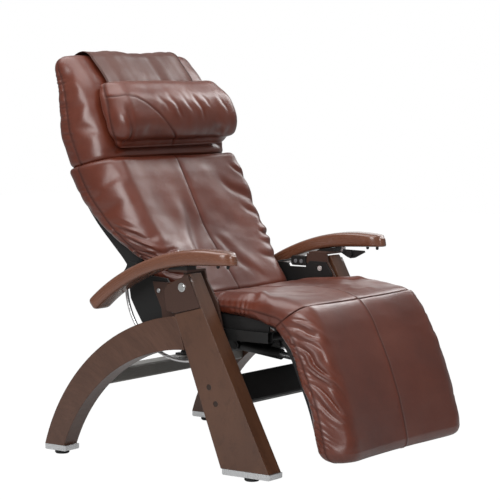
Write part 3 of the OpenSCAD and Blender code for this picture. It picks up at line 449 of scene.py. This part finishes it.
def cushion(name, front, rear, widths, t0, t1, seam, corner, ends, roll, rows, cap, nf=38, nb=15, nrb=12,
            edge=0.074, slack=0.035, centre=True, calm_mid=1.0, calm_far=1.0):
    """A padded cushion: a crowned closed form, with cloth inflated between its seams.

    It runs from t0 to t1 along its outlines, and its two ends bulge by ends. A ring has nb points from the
    edge seam to the panel's seam (nrb on the rear) and nf from there to the middle. cap is the most that the
    cloth moves a point, less in the middle and on the far side by calm_mid and calm_far. Returns the piece
    and its length.
    """
    nrf = nf + nb - nrb
    steps = [(t0, ends[0], a, -1) for a in END_ANGLES[::-1]]
    steps += [(t, 0, 0, 0) for t in np.linspace(t0, t1, rows)]
    steps += [(t1, ends[1], a, 1) for a in END_ANGLES]
    grid, mids = [], []
    for t, end, a, sign in steps:
        f, r, w = at(front, t), at(rear, t), at(widths, t)[0]
        a = math.radians(a)
        if end:
            g = onward(front, rear, t, PROBE, PROBE) * sign
            f, r = f + g * end * math.sin(a), r + g * end * math.sin(a)
        points, mid = ring(f, r, w, seam, corner, end * (1 - math.cos(a)), roll * math.cos(a / 2),
                           (edge, REAR_EDGE), ((nb, nf), (nrb, nrf)))
        grid.append(points)
        mids.append(mid)
    grid = np.array(grid)
    nr, nc = grid.shape[:2]
    faces = quads(nr, nc)
    # close both ends with smaller rings that meet in a line, where each point joins its mirror image
    caps = []
    for row, flip in ((0, True), (nr - 1, False)):
        outer = [row * nc + j for j in range(nc)]
        for g in CAP_RINGS:
            inner = []
            for j in range(nc):
                pj = (nc - j) % nc
                if g == 1.0 and pj < j:
                    inner.append(inner[pj])
                    continue
                x = (grid[row, j, 0] + grid[row, pj, 0]) / 2 * (1 - CAP_TUCK * g)
                caps.append(grid[row, j] * (1 - g) + np.array([x, *mids[row]]) * g)
                inner.append(nr * nc + len(caps) - 1)
            for j in range(nc):
                q = [outer[j], outer[(j + 1) % nc], inner[(j + 1) % nc], inner[j]]
                q = [v for n, v in enumerate(q) if v not in q[:n]]
                faces.append(tuple(reversed(q)) if flip else tuple(q))
            outer = inner
    n_caps = len(caps)
    ob = new_object(name, np.vstack([grid.reshape(-1, 3), np.array(caps)]), faces, hide)
    # for the later detail: s runs along the cushion, e is the way round from the edge seam, less than 0 on
    # the front, and zone is 1 on the front, -1 on the rear and 0 between
    far = 2 * (nb + nf)
    s = lengths(grid[:, nb + nf])
    lens = np.linalg.norm(np.diff(np.concatenate([grid, grid[:, :1]], 1), axis=1), axis=2)
    cum = np.concatenate([np.zeros((nr, 1)), np.cumsum(lens, 1)], 1)[:, :nc]
    b, total = cum[:, far: far + 1], lens.sum(1)[:, None]
    e = np.where(cum <= b, -np.minimum(cum, b - cum), np.minimum(cum - b, total - cum))
    e = np.concatenate([e.ravel(), np.full(n_caps, 0.05)])
    zone = np.zeros(nc)
    zone[: far + 1] = 1
    zone[far + nrb: far + nrb + 2 * nrf + 1] = -1
    give(ob, "s", np.concatenate([np.repeat(s, nc), np.full(n_caps, -1.0)]))
    give(ob, "e", e)
    give(ob, "zone", np.concatenate([np.tile(zone, nr), np.zeros(n_caps)]))
    seams = np.zeros((nr, nc), bool)
    seams[:, [0, far, far + nrb, far + nrb + 2 * nrf] + [nb + nf] * centre] = True
    held = np.concatenate([(seams | (zone < 0)).ravel(), np.ones(n_caps, bool)])
    start, edges = read(ob.data, "co"), np.array([tuple(ed.vertices) for ed in ob.data.edges])
    move = inflate(ob, held, slack)
    size = np.linalg.norm(move, axis=1)
    row = np.concatenate([np.repeat(np.arange(nr), nc), np.zeros(n_caps)])
    mid = smooth(*PANEL_MIDDLE, np.abs(e)) * (e < 0)
    calm = smooth(*STARTS, np.minimum(row, nr - 1 - row)) * (1 - (1 - calm_mid) * mid)
    calm = calm * np.where((start[:, 0] > 0) & (mid < 0.99), calm_far, 1.0)
    move *= (cap * np.tanh(size / cap) * calm / np.maximum(size, 1e-9))[:, None]
    for _ in range(3):
        move = relax(move, edges, held)
    put(ob, start + move)
    sewn = np.concatenate([seams.ravel(), np.zeros(n_caps, bool)])
    co, nn = read(ob.data, "co"), read(ob.data, "normal")
    co[sewn] -= nn[sewn] * SEAM_DEPTH
    put(ob, co)
    # painted shade along the seams
    give(ob, "painted_shade", sewn)
    sub = ob.modifiers.new("sub", "SUBSURF")
    sub.levels = sub.render_levels = 1
    bake(ob)
    return ob, float(s[-1])


# Outlines in mm: (y, z) points of the front and the rear in the middle of each cushion, and half its width.
SEAT_F = [[22, 446], [-25, 466], [-83, 482], [-159, 489], [-230, 494], [-300, 496], [-371, 490], [-433, 472]]
SEAT_R = [[56, 409], [10, 425], [-70, 434], [-150, 438], [-225, 434], [-290, 427], [-332, 418], [-356, 410]]
LEG_F = [[-474, 428], [-504, 370], [-538, 296], [-568, 215], [-590, 130], [-598, 92]]
LEG_R = [[-392, 374], [-414, 340], [-441, 280], [-471, 207], [-493, 125], [-502, 90]]
PAD = (SEAT_F + LEG_F, SEAT_R + LEG_R,
       [282, 283, 284, 285, 295, 302, 304, 304, 304, 307, 308, 308, 309, 309])
BACK = ([[-24, 480], [22, 540], [68, 604], [104, 655], [142, 722], [176, 785], [207, 846]],
        [[66, 462], [108, 551], [154, 591], [208, 632], [270, 686], [318, 742], [362, 808]],
        [258, 268, 290, 306, 314, 320, 318])
HEAD_F = [[232, 868], [262, 940], [290, 1010], [318, 1072], [368, 1133]]
HEAD_R = [[367, 831], [400, 914], [408, 978], [416, 1042], [431, 1104]]
PILLOW = ([[206, 902], [180, 917], [176, 968], [195, 1024], [232, 1063]],
          [[238, 904], [251, 932], [267, 972], [288, 1021], [300, 1048.5]],
          [258, 274, 277, 270, 254])

seat, seat_length = cushion("seat_cushion_leather", *PAD, 0, 6.975, 0.40, 0.055, (0.018, 0.004), 0.004, 74,
                            0.004, calm_mid=0.6)
leg, _ = cushion("leg_cushion_leather", *PAD, 7.115, 13, 0.36, 0.066, (0.004, 0.028), 0.016, 70,
                 0.004, calm_mid=0.25)
back, _ = cushion("back_cushion_leather", *BACK, 0, 6, 0.30, 0.070, (0.014, 0.014), 0.018, 78,
                  0.0042, slack=0.05, calm_mid=0.9, calm_far=0.5)
head, _ = cushion("head_cushion_leather", HEAD_F, HEAD_R, [309, 310, 307, 303, 298], 0, 4, 0.34, 0.072,
                  (0.014, 0.030), 0.0, 50, 0.0035, centre=False)
pillow, _ = cushion("head_pillow_leather", *PILLOW, 0, 4, 0.40, 0.050, (0.020, 0.018), 0.0, 30,
                    0.005, nf=34, nb=9, nrb=8, centre=False, edge=0.055)


# ---------------------------------------------------------------- gathers, folds and waves in the leather, with painted shade in their valleys and painted highlights on their ridges
def crease(x, s, x0, s0, x1, s1, width, depth):
    """A fold: a narrow valley along a line, with a soft ridge beside it, fading towards both ends."""
    dx, ds = x1 - x0, s1 - s0
    ll = dx * dx + ds * ds
    t = ((x - x0) * dx + (s - s0) * ds) / ll
    side = ((x - x0) * ds - (s - s0) * dx) / math.sqrt(ll)
    side = side + 0.25 * width * np.sin(t * 9 + x0 * 40)        # so that no fold is quite straight
    fade = smooth(-0.12, 0.25, t) * (1 - smooth(0.7, 1.12, t))
    w = width * (1.25 - 0.5 * np.clip(t, 0, 1))
    valley, ridge = np.exp(-(side / w) ** 2), np.exp(-((side - 2.1 * w) / (1.5 * w)) ** 2)
    return depth * fade * (0.6 * ridge - valley)


def puckers(x, s, e, lo, hi, size, pitch, shear, seed, reach, inner, mid=0.0):
    """Gathers along an edge seam: short ridges across it that lean, between lo and hi along the cushion.

    On the front they fade at a distance of inner from a line that lies mid from the seam, and elsewhere at
    a distance of reach from the seam. Returns the height and where the ridges are.
    """
    side = np.sign(x)
    q = (s / pitch + shear * np.abs(e) / pitch * np.where(e < 0, 1, -0.7)
         + 0.5 * vnoise(s / 0.06, side * 3, seed))
    ridge = 0.7 - np.abs(vnoise(q * 1.7, side * 5 + e * 8, seed + 1)) * 1.6
    wander = 0.8 * vnoise(s / 0.05, side * 7 + 0.5, seed + 2)
    ridge += 0.8 * (1 - 1.6 * np.abs(np.sin(q * math.pi + wander)))
    w = smooth(lo - 0.03, lo + 0.04, s) * (1 - smooth(hi - 0.04, hi + 0.03, s))
    near = np.where(e < 0, np.exp(-((e + mid) / inner) ** 2), np.exp(-(e / reach) ** 2))
    near = near * smooth(0.0, 0.006, np.abs(e))
    vary = 0.6 + 0.4 * vnoise(s / 0.09, side * 11, seed + 4)
    return size * w * near * ridge * vary, w * near * np.clip(ridge, 0, 1)


def waves(x, s, front, *rows):
    """Soft waves on the front, each from (height, length across, length along, seed)."""
    return [height * vnoise(x / across, s / down, seed) * front for height, across, down, seed in rows]


def folded(parts, x, s, front, creases):
    """The sum of the parts and of the creases on the front."""
    a = parts[0]
    for p in parts[1:]:
        a = a + p
    for c in creases:
        a = a + crease(x, s, *c) * front
    return a


def sewn_line(x, s, points, width):
    """1 on the line through the points (x, s), and falling to 0 beside it."""
    best = np.full(len(x), 1e9)
    for (x0, s0), (x1, s1) in zip(points, points[1:]):
        ll = (x1 - x0) ** 2 + (s1 - s0) ** 2
        t = np.clip(((x - x0) * (x1 - x0) + (s - s0) * (s1 - s0)) / ll, 0, 1)
        best = np.minimum(best, np.hypot(x - x0 - t * (x1 - x0), s - s0 - t * (s1 - s0)))
    return np.exp(-(best / width) ** 2)


def seat_detail(x, s, e, front):
    p, r = puckers(x, s, e, 0.12, 0.34, 0.0040, 0.019, 0.25, 3.0, 0.016, 0.020)
    a = folded([p, *waves(x, s, front, (0.0016, 0.16, 0.10, 5.0), (0.0007, 0.05, 0.03, 6.0))], x, s, front, [
        (-0.29, 0.37, -0.20, 0.33, 0.009, 0.003), (-0.27, 0.20, -0.17, 0.24, 0.010, 0.0025),
        (-0.20, 0.10, -0.08, 0.12, 0.012, 0.002), (0.29, 0.36, 0.22, 0.31, 0.009, 0.003)])
    # painted shade in the gap at the knee between seat and leg, and on the end caps
    knee_gap_shade = np.where(s < -0.5, 1.0, smooth(seat_length - 0.007, seat_length - 0.002, s))
    # returns heights, painted shade in the gathers' valleys and at the knee, and painted highlights on their
    # ridges
    return a, np.clip(-p / 0.004, 0, 0.4) + knee_gap_shade, 0.5 * r * (p > 0.0006) * (1 - knee_gap_shade)


def leg_detail(x, s, e, front):
    p, r = puckers(x, s, e, 0.03, 0.34, 0.0085, 0.050, -1.5, 13.0, 0.010, 0.032, 0.040)
    q = puckers(x, s, e, 0.02, 0.42, 0.0018, 0.020, -0.9, 17.0, 0.030, 0.022)[0]
    a = folded([p, q, *waves(x, s, front, (0.0009, 0.2, 0.09, 15.0), (0.0003, 0.06, 0.03, 16.0))],
               x, s, front, [])
    # painted shade in the gap at the knee and on the end caps
    knee_gap_shade = 1 - smooth(0.002, 0.007, s)
    # returns heights, painted shade in the gathers' valleys and at the knee, and painted highlights on their
    # ridges
    return a, np.clip(-p / 0.006, 0, 0.45) + knee_gap_shade, 0.6 * r * (p > 0.0012) * (1 - knee_gap_shade)


def back_detail(x, s, e, front):
    p, r = puckers(x, s, e, 0.09, 0.27, 0.0075, 0.036, 1.0, 23.0, 0.012, 0.026, 0.034)
    near_side = np.where(x > 0, 0.3, 1.0)       # the far side has weaker gathers
    p, r = p * near_side, r * near_side
    q = puckers(x, s, e, 0.10, 0.45, 0.0014, 0.018, 0.3, 27.0, 0.02, 0.014)[0]
    slanting = 0.0040 * vnoise(x / 0.16 + s / 0.5, s / 0.19, 25.0) * front
    a = folded([p, q, slanting, *waves(x, s, front, (0.0009, 0.06, 0.04, 26.0))], x, s, front, [
        (0.325, 0.34, 0.23, 0.42, 0.010, 0.004), (0.325, 0.255, 0.16, 0.37, 0.016, 0.005),
        (0.325, 0.20, 0.20, 0.29, 0.012, 0.003), (0.315, 0.165, 0.225, 0.195, 0.009, 0.006),
        (0.335, 0.12, 0.20, 0.165, 0.013, 0.003), (0.32, 0.08, 0.17, 0.12, 0.012, 0.003),
        (-0.04, 0.33, -0.10, 0.10, 0.022, 0.004), (0.10, 0.05, 0.02, 0.20, 0.016, 0.003),
        (-0.29, 0.10, -0.17, 0.075, 0.008, 0.005), (-0.29, 0.125, -0.18, 0.120, 0.008, 0.006),
        (-0.29, 0.155, -0.20, 0.165, 0.008, 0.005)])
    # returns heights, painted shade in the valleys of the folds, and painted highlights on the gathers' ridges
    return a, np.clip(-a / 0.007, 0, 0.35), 0.5 * r * (p > 0.0012)


def head_detail(x, s, e, front):
    p, r = puckers(x, s, e, 0.03, 0.30, 0.0024, 0.019, 0.2, 33.0, 0.035, 0.010)
    a = folded([p, *waves(x, s, front, (0.0016, 0.12, 0.12, 35.0), (0.0007, 0.05, 0.04, 36.0))], x, s, front, [
        (-0.285, 0.015, -0.19, 0.05, 0.012, 0.004), (0.285, 0.015, 0.21, 0.045, 0.012, 0.004)])
    # returns heights, painted shade in the gathers' valleys, and painted highlights on their ridges
    return a, np.clip(-p / 0.004, 0, 0.4), 0.5 * r * (p > 0.0006)


PILLOW_SEAM = [(-0.275, 0.180), (-0.235, 0.186), (-0.20, 0.180), (-0.16, 0.156), (-0.115, 0.120),
               (-0.07, 0.082), (-0.03, 0.045), (-0.01, 0.01), (-0.01, -0.01)]
# creases from the pillow's upper edge: x there, s where it ends, depth
PILLOW_CREASES = [(-0.10, 0.135, 0.0012), (-0.05, 0.110, 0.0018), (0.005, 0.125, 0.0012),
                  (0.062, 0.105, 0.0019), (0.10, 0.140, 0.0011), (0.18, 0.120, 0.0014)]


def pillow_detail(x, s, e, front):
    w = sewn_line(x, s, PILLOW_SEAM, 0.003)
    a = folded(waves(x, s, front, (0.0018, 0.12, 0.05, 45.0), (0.0007, 0.03, 0.05, 46.0)), x, s, front,
               [(c, 0.185, c + 0.032, end, 0.008, deep) for c, end, deep in PILLOW_CREASES]
               + [(-0.252, 0.150, -0.235, 0.02, 0.007, 0.005), (0.20, 0.05, 0.13, 0.09, 0.008, 0.002)])
    a = a - SEAM_DEPTH * w * front
    # returns heights, painted shade in the valleys and along the seam line, and no painted highlights
    return a, np.clip(-a / 0.006, 0, 0.3) + 0.7 * w * front, np.zeros(len(x))


for ob, fn in ((seat, seat_detail), (leg, leg_detail), (back, back_detail), (head, head_detail),
               (pillow, pillow_detail)):
    co, nn = read(ob.data, "co"), read(ob.data, "normal")
    height, dark, light = fn(co[:, 0], take(ob, "s"), take(ob, "e"), (take(ob, "zone") > 0.5) * 1.0)
    put(ob, co + nn * height[:, None])
    # the details' painted shade is added to the seams' painted shade, and their painted highlights are stored
    # for the ridges
    give(ob, "painted_shade", np.clip(take(ob, "painted_shade") + dark, 0, 1))
    give(ob, "painted_highlight", np.clip(light, 0, 1))

# ---------------------------------------------------------------- armrests: bent wood with rounded edges
ARM_X, ARM_HALF = 0.370, 0.035                  # its middle and half its width
ARM_CENTRE = np.array([-0.188 + SHIFT, 0.026])  # (y, z) of the centre of its arcs
ARM_UNDER, ARM_TOP = 0.552, 0.590               # their radii
ARM_TAIL, ARM_TIP = math.radians(48.5), math.radians(98.5)
ARM_BEND = math.acos(0.038 / ARM_UNDER)         # from here on the underside is straight
ARM_STRAIGHT = (ARM_CENTRE + ARM_UNDER * np.array([math.cos(ARM_BEND), math.sin(ARM_BEND)]),
                np.array([-0.281 + SHIFT, 0.5825]))
ARM_NOSE, ARM_NOSE_AT, ARM_NOSE_END = 0.0065, 0.0800, 0.0064        # radius of the tip's upper edge, its reach
ARM_SWELL = 0.0055                              # how much thicker it is towards its tip
ARM_PLAN_AT, ARM_PLAN_OVER, ARM_PLAN_POWER = 0.038, 0.0505, 2.6     # its rounding seen from above
ARM_SQUARE = 0.42                               # power of the section's corners
ARM_POINTS = 40                                 # in one section


def arm_section(side, a, inset=0.0, ahead=0.0, squeeze=1.0):
    """The section of an armrest at an angle. inset, ahead and squeeze round off its ends."""
    u = np.array([math.cos(a), math.sin(a)])
    top = ARM_CENTRE + (ARM_TOP + ARM_SWELL * float(smooth(1.15, 1.62, np.array(a)))) * u
    past = min(max(0.0, ARM_CENTRE[0] - top[0] - ARM_NOSE_AT), ARM_NOSE_END)
    top = top - np.array([0, ARM_NOSE - math.sqrt(ARM_NOSE ** 2 - past ** 2)])
    plan = min(max(0.0, (ARM_CENTRE[0] - top[0] - ARM_PLAN_AT) / ARM_PLAN_OVER), 0.965)
    half = ARM_HALF * (1 - plan ** ARM_PLAN_POWER) ** (1 / ARM_PLAN_POWER)
    f = min(1, max(0, (a - ARM_BEND) / (ARM_TIP - ARM_BEND)))
    low = ARM_CENTRE + ARM_UNDER * u if a < ARM_BEND else ARM_STRAIGHT[0] * (1 - f) + ARM_STRAIGHT[1] * f
    mid, up = (top + low) / 2 + np.array([-u[1], u[0]]) * ahead, (top - low) / 2
    h = np.linalg.norm(up)
    up = up / h
    points = []
    for k in range(ARM_POINTS):
        t = 2 * math.pi * k / ARM_POINTS
        cs, sn = math.cos(t), math.sin(t)
        x = max(0.002, half - inset * 1.25) * math.copysign(abs(cs) ** ARM_SQUARE, cs)
        z = (h - inset * squeeze) * math.copysign(abs(sn) ** ARM_SQUARE, sn)
        if sn > 0:
            z += 0.0012 * (1 - (x / ARM_HALF) ** 2)     # the top is slightly crowned
        points.append((side * (ARM_X + x), *(mid + up * z)))
    return points


def armrest(side, which):
    rings = [arm_section(side, ARM_TAIL, 0.017 * (1 - math.cos(g)), -0.017 * math.sin(g))
             for g in np.radians(np.linspace(88, 10, 8))]
    rings += [arm_section(side, a)
              for a in np.concatenate([np.linspace(ARM_TAIL, 1.63, 70), np.linspace(1.634, ARM_TIP, 26)])]
    rings += [arm_section(side, ARM_TIP, 0.008 * (1 - math.cos(g)), 0.007 * math.sin(g), 0.9)
              for g in np.radians(np.linspace(15, 88, 6))]
    faces = quads(len(rings), ARM_POINTS)
    faces += [tuple(range(ARM_POINTS - 1, -1, -1)),
              tuple((len(rings) - 1) * ARM_POINTS + k for k in range(ARM_POINTS))]
    if side < 0:
        faces = [q[::-1] for q in faces]
    ob = new_object("armrest_wood_" + which, [p for q in rings for p in q], faces, arm_wood)
    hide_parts("armrest_" + which)
    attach(ob, "seat_frame")


armrest(1, "left")
armrest(-1, "right")

# ---------------------------------------------------------------- the wide strap over the head cushion
END_ROUND = 0.030                               # how far the head cushion's upper end bulges
over, top_f, top_r = onward(HEAD_F, HEAD_R, 4.0, 0.04, 0.0), at(HEAD_F, 4.0), at(HEAD_R, 4.0)
gap = np.linalg.norm(top_r - top_f)
across = (top_r - top_f) / gap
path = list(along(HEAD_F, np.linspace(1.96, 4, 44)))
path += [top_f + over * END_ROUND * math.sin(a) + across * END_ROUND * (1 - math.cos(a))
         for a in np.radians(np.arange(10, 91, 10))]
path.append(top_f + over * END_ROUND + across * gap * 0.5)
path += [top_r + over * END_ROUND * math.sin(a) - across * END_ROUND * (1 - math.cos(a))
         for a in np.radians(np.arange(90, -1, -10))]
path = np.array(path + [at(HEAD_R, t) for t in np.linspace(3.96, 3.0, 14)])
tangent = np.gradient(path, axis=0)
tangent /= np.linalg.norm(tangent, axis=1)[:, None]
outward = np.stack([-tangent[:, 1], tangent[:, 0]], 1)
ln = lengths(path)
xs = np.linspace(-0.205, 0.205, 90)
HEM, HEM_SHADE, HEM_SOFT = 0.199, 0.201, 0.004   # x of the raised hem, x of the painted shade along it, and how soft both are
CLEAR, FOLDS, RIPPLES, HEM_RISE = 0.0016, 0.0105, 0.0008, 0.0012    # above the cushion, in metres
nx, n_path = len(xs), len(path)
verts, faces = [], []
for layer in (0.0024, 0.0012):
    for p, way, l in zip(path, outward, ln):
        folds = vnoise(xs / 0.052, np.full_like(xs, l / 0.4), 51.0) * 0.5 + 0.5
        small = vnoise(xs / 0.02, np.full_like(xs, l / 0.2), 52.0)
        lift = layer + CLEAR + FOLDS * folds + RIPPLES * small
        lift = lift + HEM_RISE * np.exp(-((np.abs(xs) - HEM) / HEM_SOFT) ** 2)
        verts += [(x, *(p + way * h)) for x, h in zip(xs, lift)]
under = nx * n_path
for i in range(n_path - 1):
    for a in range(i * nx, i * nx + nx - 1):
        b = a + under
        faces += [(a, a + nx, a + nx + 1, a + 1), (b, b + 1, b + nx + 1, b + nx)]
rim = list(range(nx)) + [i * nx + nx - 1 for i in range(1, n_path)]
rim += [(n_path - 1) * nx + j for j in range(nx - 2, -1, -1)] + [i * nx for i in range(n_path - 2, 0, -1)]
for a, b in zip(rim, rim[1:] + rim[:1]):
    faces.append((a, b, b + under, a + under))
strap = new_object("pillow_strap_leather", verts, faces, hide_strap)
# painted shade along both hems
give(strap, "painted_shade", np.tile(np.exp(-((np.abs(xs) - HEM_SHADE) / HEM_SOFT) ** 2), 2 * n_path))
give(strap, "painted_highlight", np.zeros(len(verts)))

# ---------------------------------------------------------------- what carries the soft pieces
for ob, nd, fill in ((seat, "seat_cushion", 0.85), (leg, "leg_cushion", 0.85), (back, "back_cushion", 0.8),
                     (head, "head_cushion", 0.8), (pillow, "head_pillow", 0.8)):
    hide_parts(nd)
    if ob is leg:
        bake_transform(ob)
    else:
        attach(ob, "seat_frame")
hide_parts("pillow_strap")
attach(strap, "seat_frame")

# ---------------------------------------------------------------- floor: pale, and bright white to the camera
m, nt, b = material("pale_floor")
b.inputs["Roughness"].default_value = 0.9
nt.links.new(ramp(nt, noise(nt, place(nt), 3, 2), [(0.3, (0.48, 0.48, 0.48)), (0.7, (0.52, 0.52, 0.52))]),
             b.inputs["Base Color"])
glow = node(nt, "ShaderNodeEmission", Strength=1.06, Color=(1, 1, 1, 1))
ray = node(nt, "ShaderNodeLightPath").outputs
either = node(nt, "ShaderNodeMixShader")
nt.links.new(maths(nt, "MAXIMUM", times(nt, ray["Is Camera Ray"], 0.95), times(nt, ray["Is Glossy Ray"], 0.18)),
             either.inputs[0])
nt.links.new(b.outputs[0], either.inputs[1])
nt.links.new(glow.outputs[0], either.inputs[2])
nt.links.new(either.outputs[0], nt.nodes["Material Output"].inputs["Surface"])
new_object("floor", [(-9, -9, 0), (9, -9, 0), (9, 9, 0), (-9, 9, 0)], [(0, 1, 2, 3)], m)

# ---------------------------------------------------------------- world: white to the camera, otherwise dim
world = bpy.data.worlds.new("world")
scene.world = world
world.use_nodes = True
nt = world.node_tree
ray = node(nt, "ShaderNodeLightPath").outputs
direction = node(nt, "ShaderNodeSeparateXYZ")
nt.links.new(node(nt, "ShaderNodeTexCoord").outputs["Generated"], direction.inputs[0])
sky = spread(nt, direction.outputs["Z"], 0.02, 0.34, 0.30, 0.75)    # reflections are brighter from above
seen = maths(nt, "MAXIMUM", ray["Is Transmission Ray"], times(nt, ray["Is Glossy Ray"], sky))
seen = maths(nt, "MAXIMUM", ray["Is Camera Ray"], seen)
background = nt.nodes["Background"]
background.inputs["Color"].default_value = (1, 1, 1, 1)
nt.links.new(spread(nt, seen, 0.20, 1.0), background.inputs["Strength"])


# ---------------------------------------------------------------- lamps
def lamp(name, spot, target, size, power):
    d = bpy.data.lights.new(name, "AREA")
    d.shape, d.size, d.size_y, d.energy = "RECTANGLE", size[0], size[1], power
    return aimed(name, d, spot, Vector(target) - Vector(spot))


lamp("overhead", (-0.3, 0.1, 2.9), (-0.3, 0.0, 0.5), (2.4, 3.6), 62)
lamp("front_left", (-3.2, -1.2, 2.2), (0, 0, 0.6), (2.0, 2.0), 84)
lamp("right", (2.9, 0.0, 2.5), (0, -0.3, 0.45), (0.9, 1.6), 23)
lamp("behind", (3.4, 2.5, 1.35), (0, 0, 0.6), (2.4, 1.3), 9).visible_camera = False
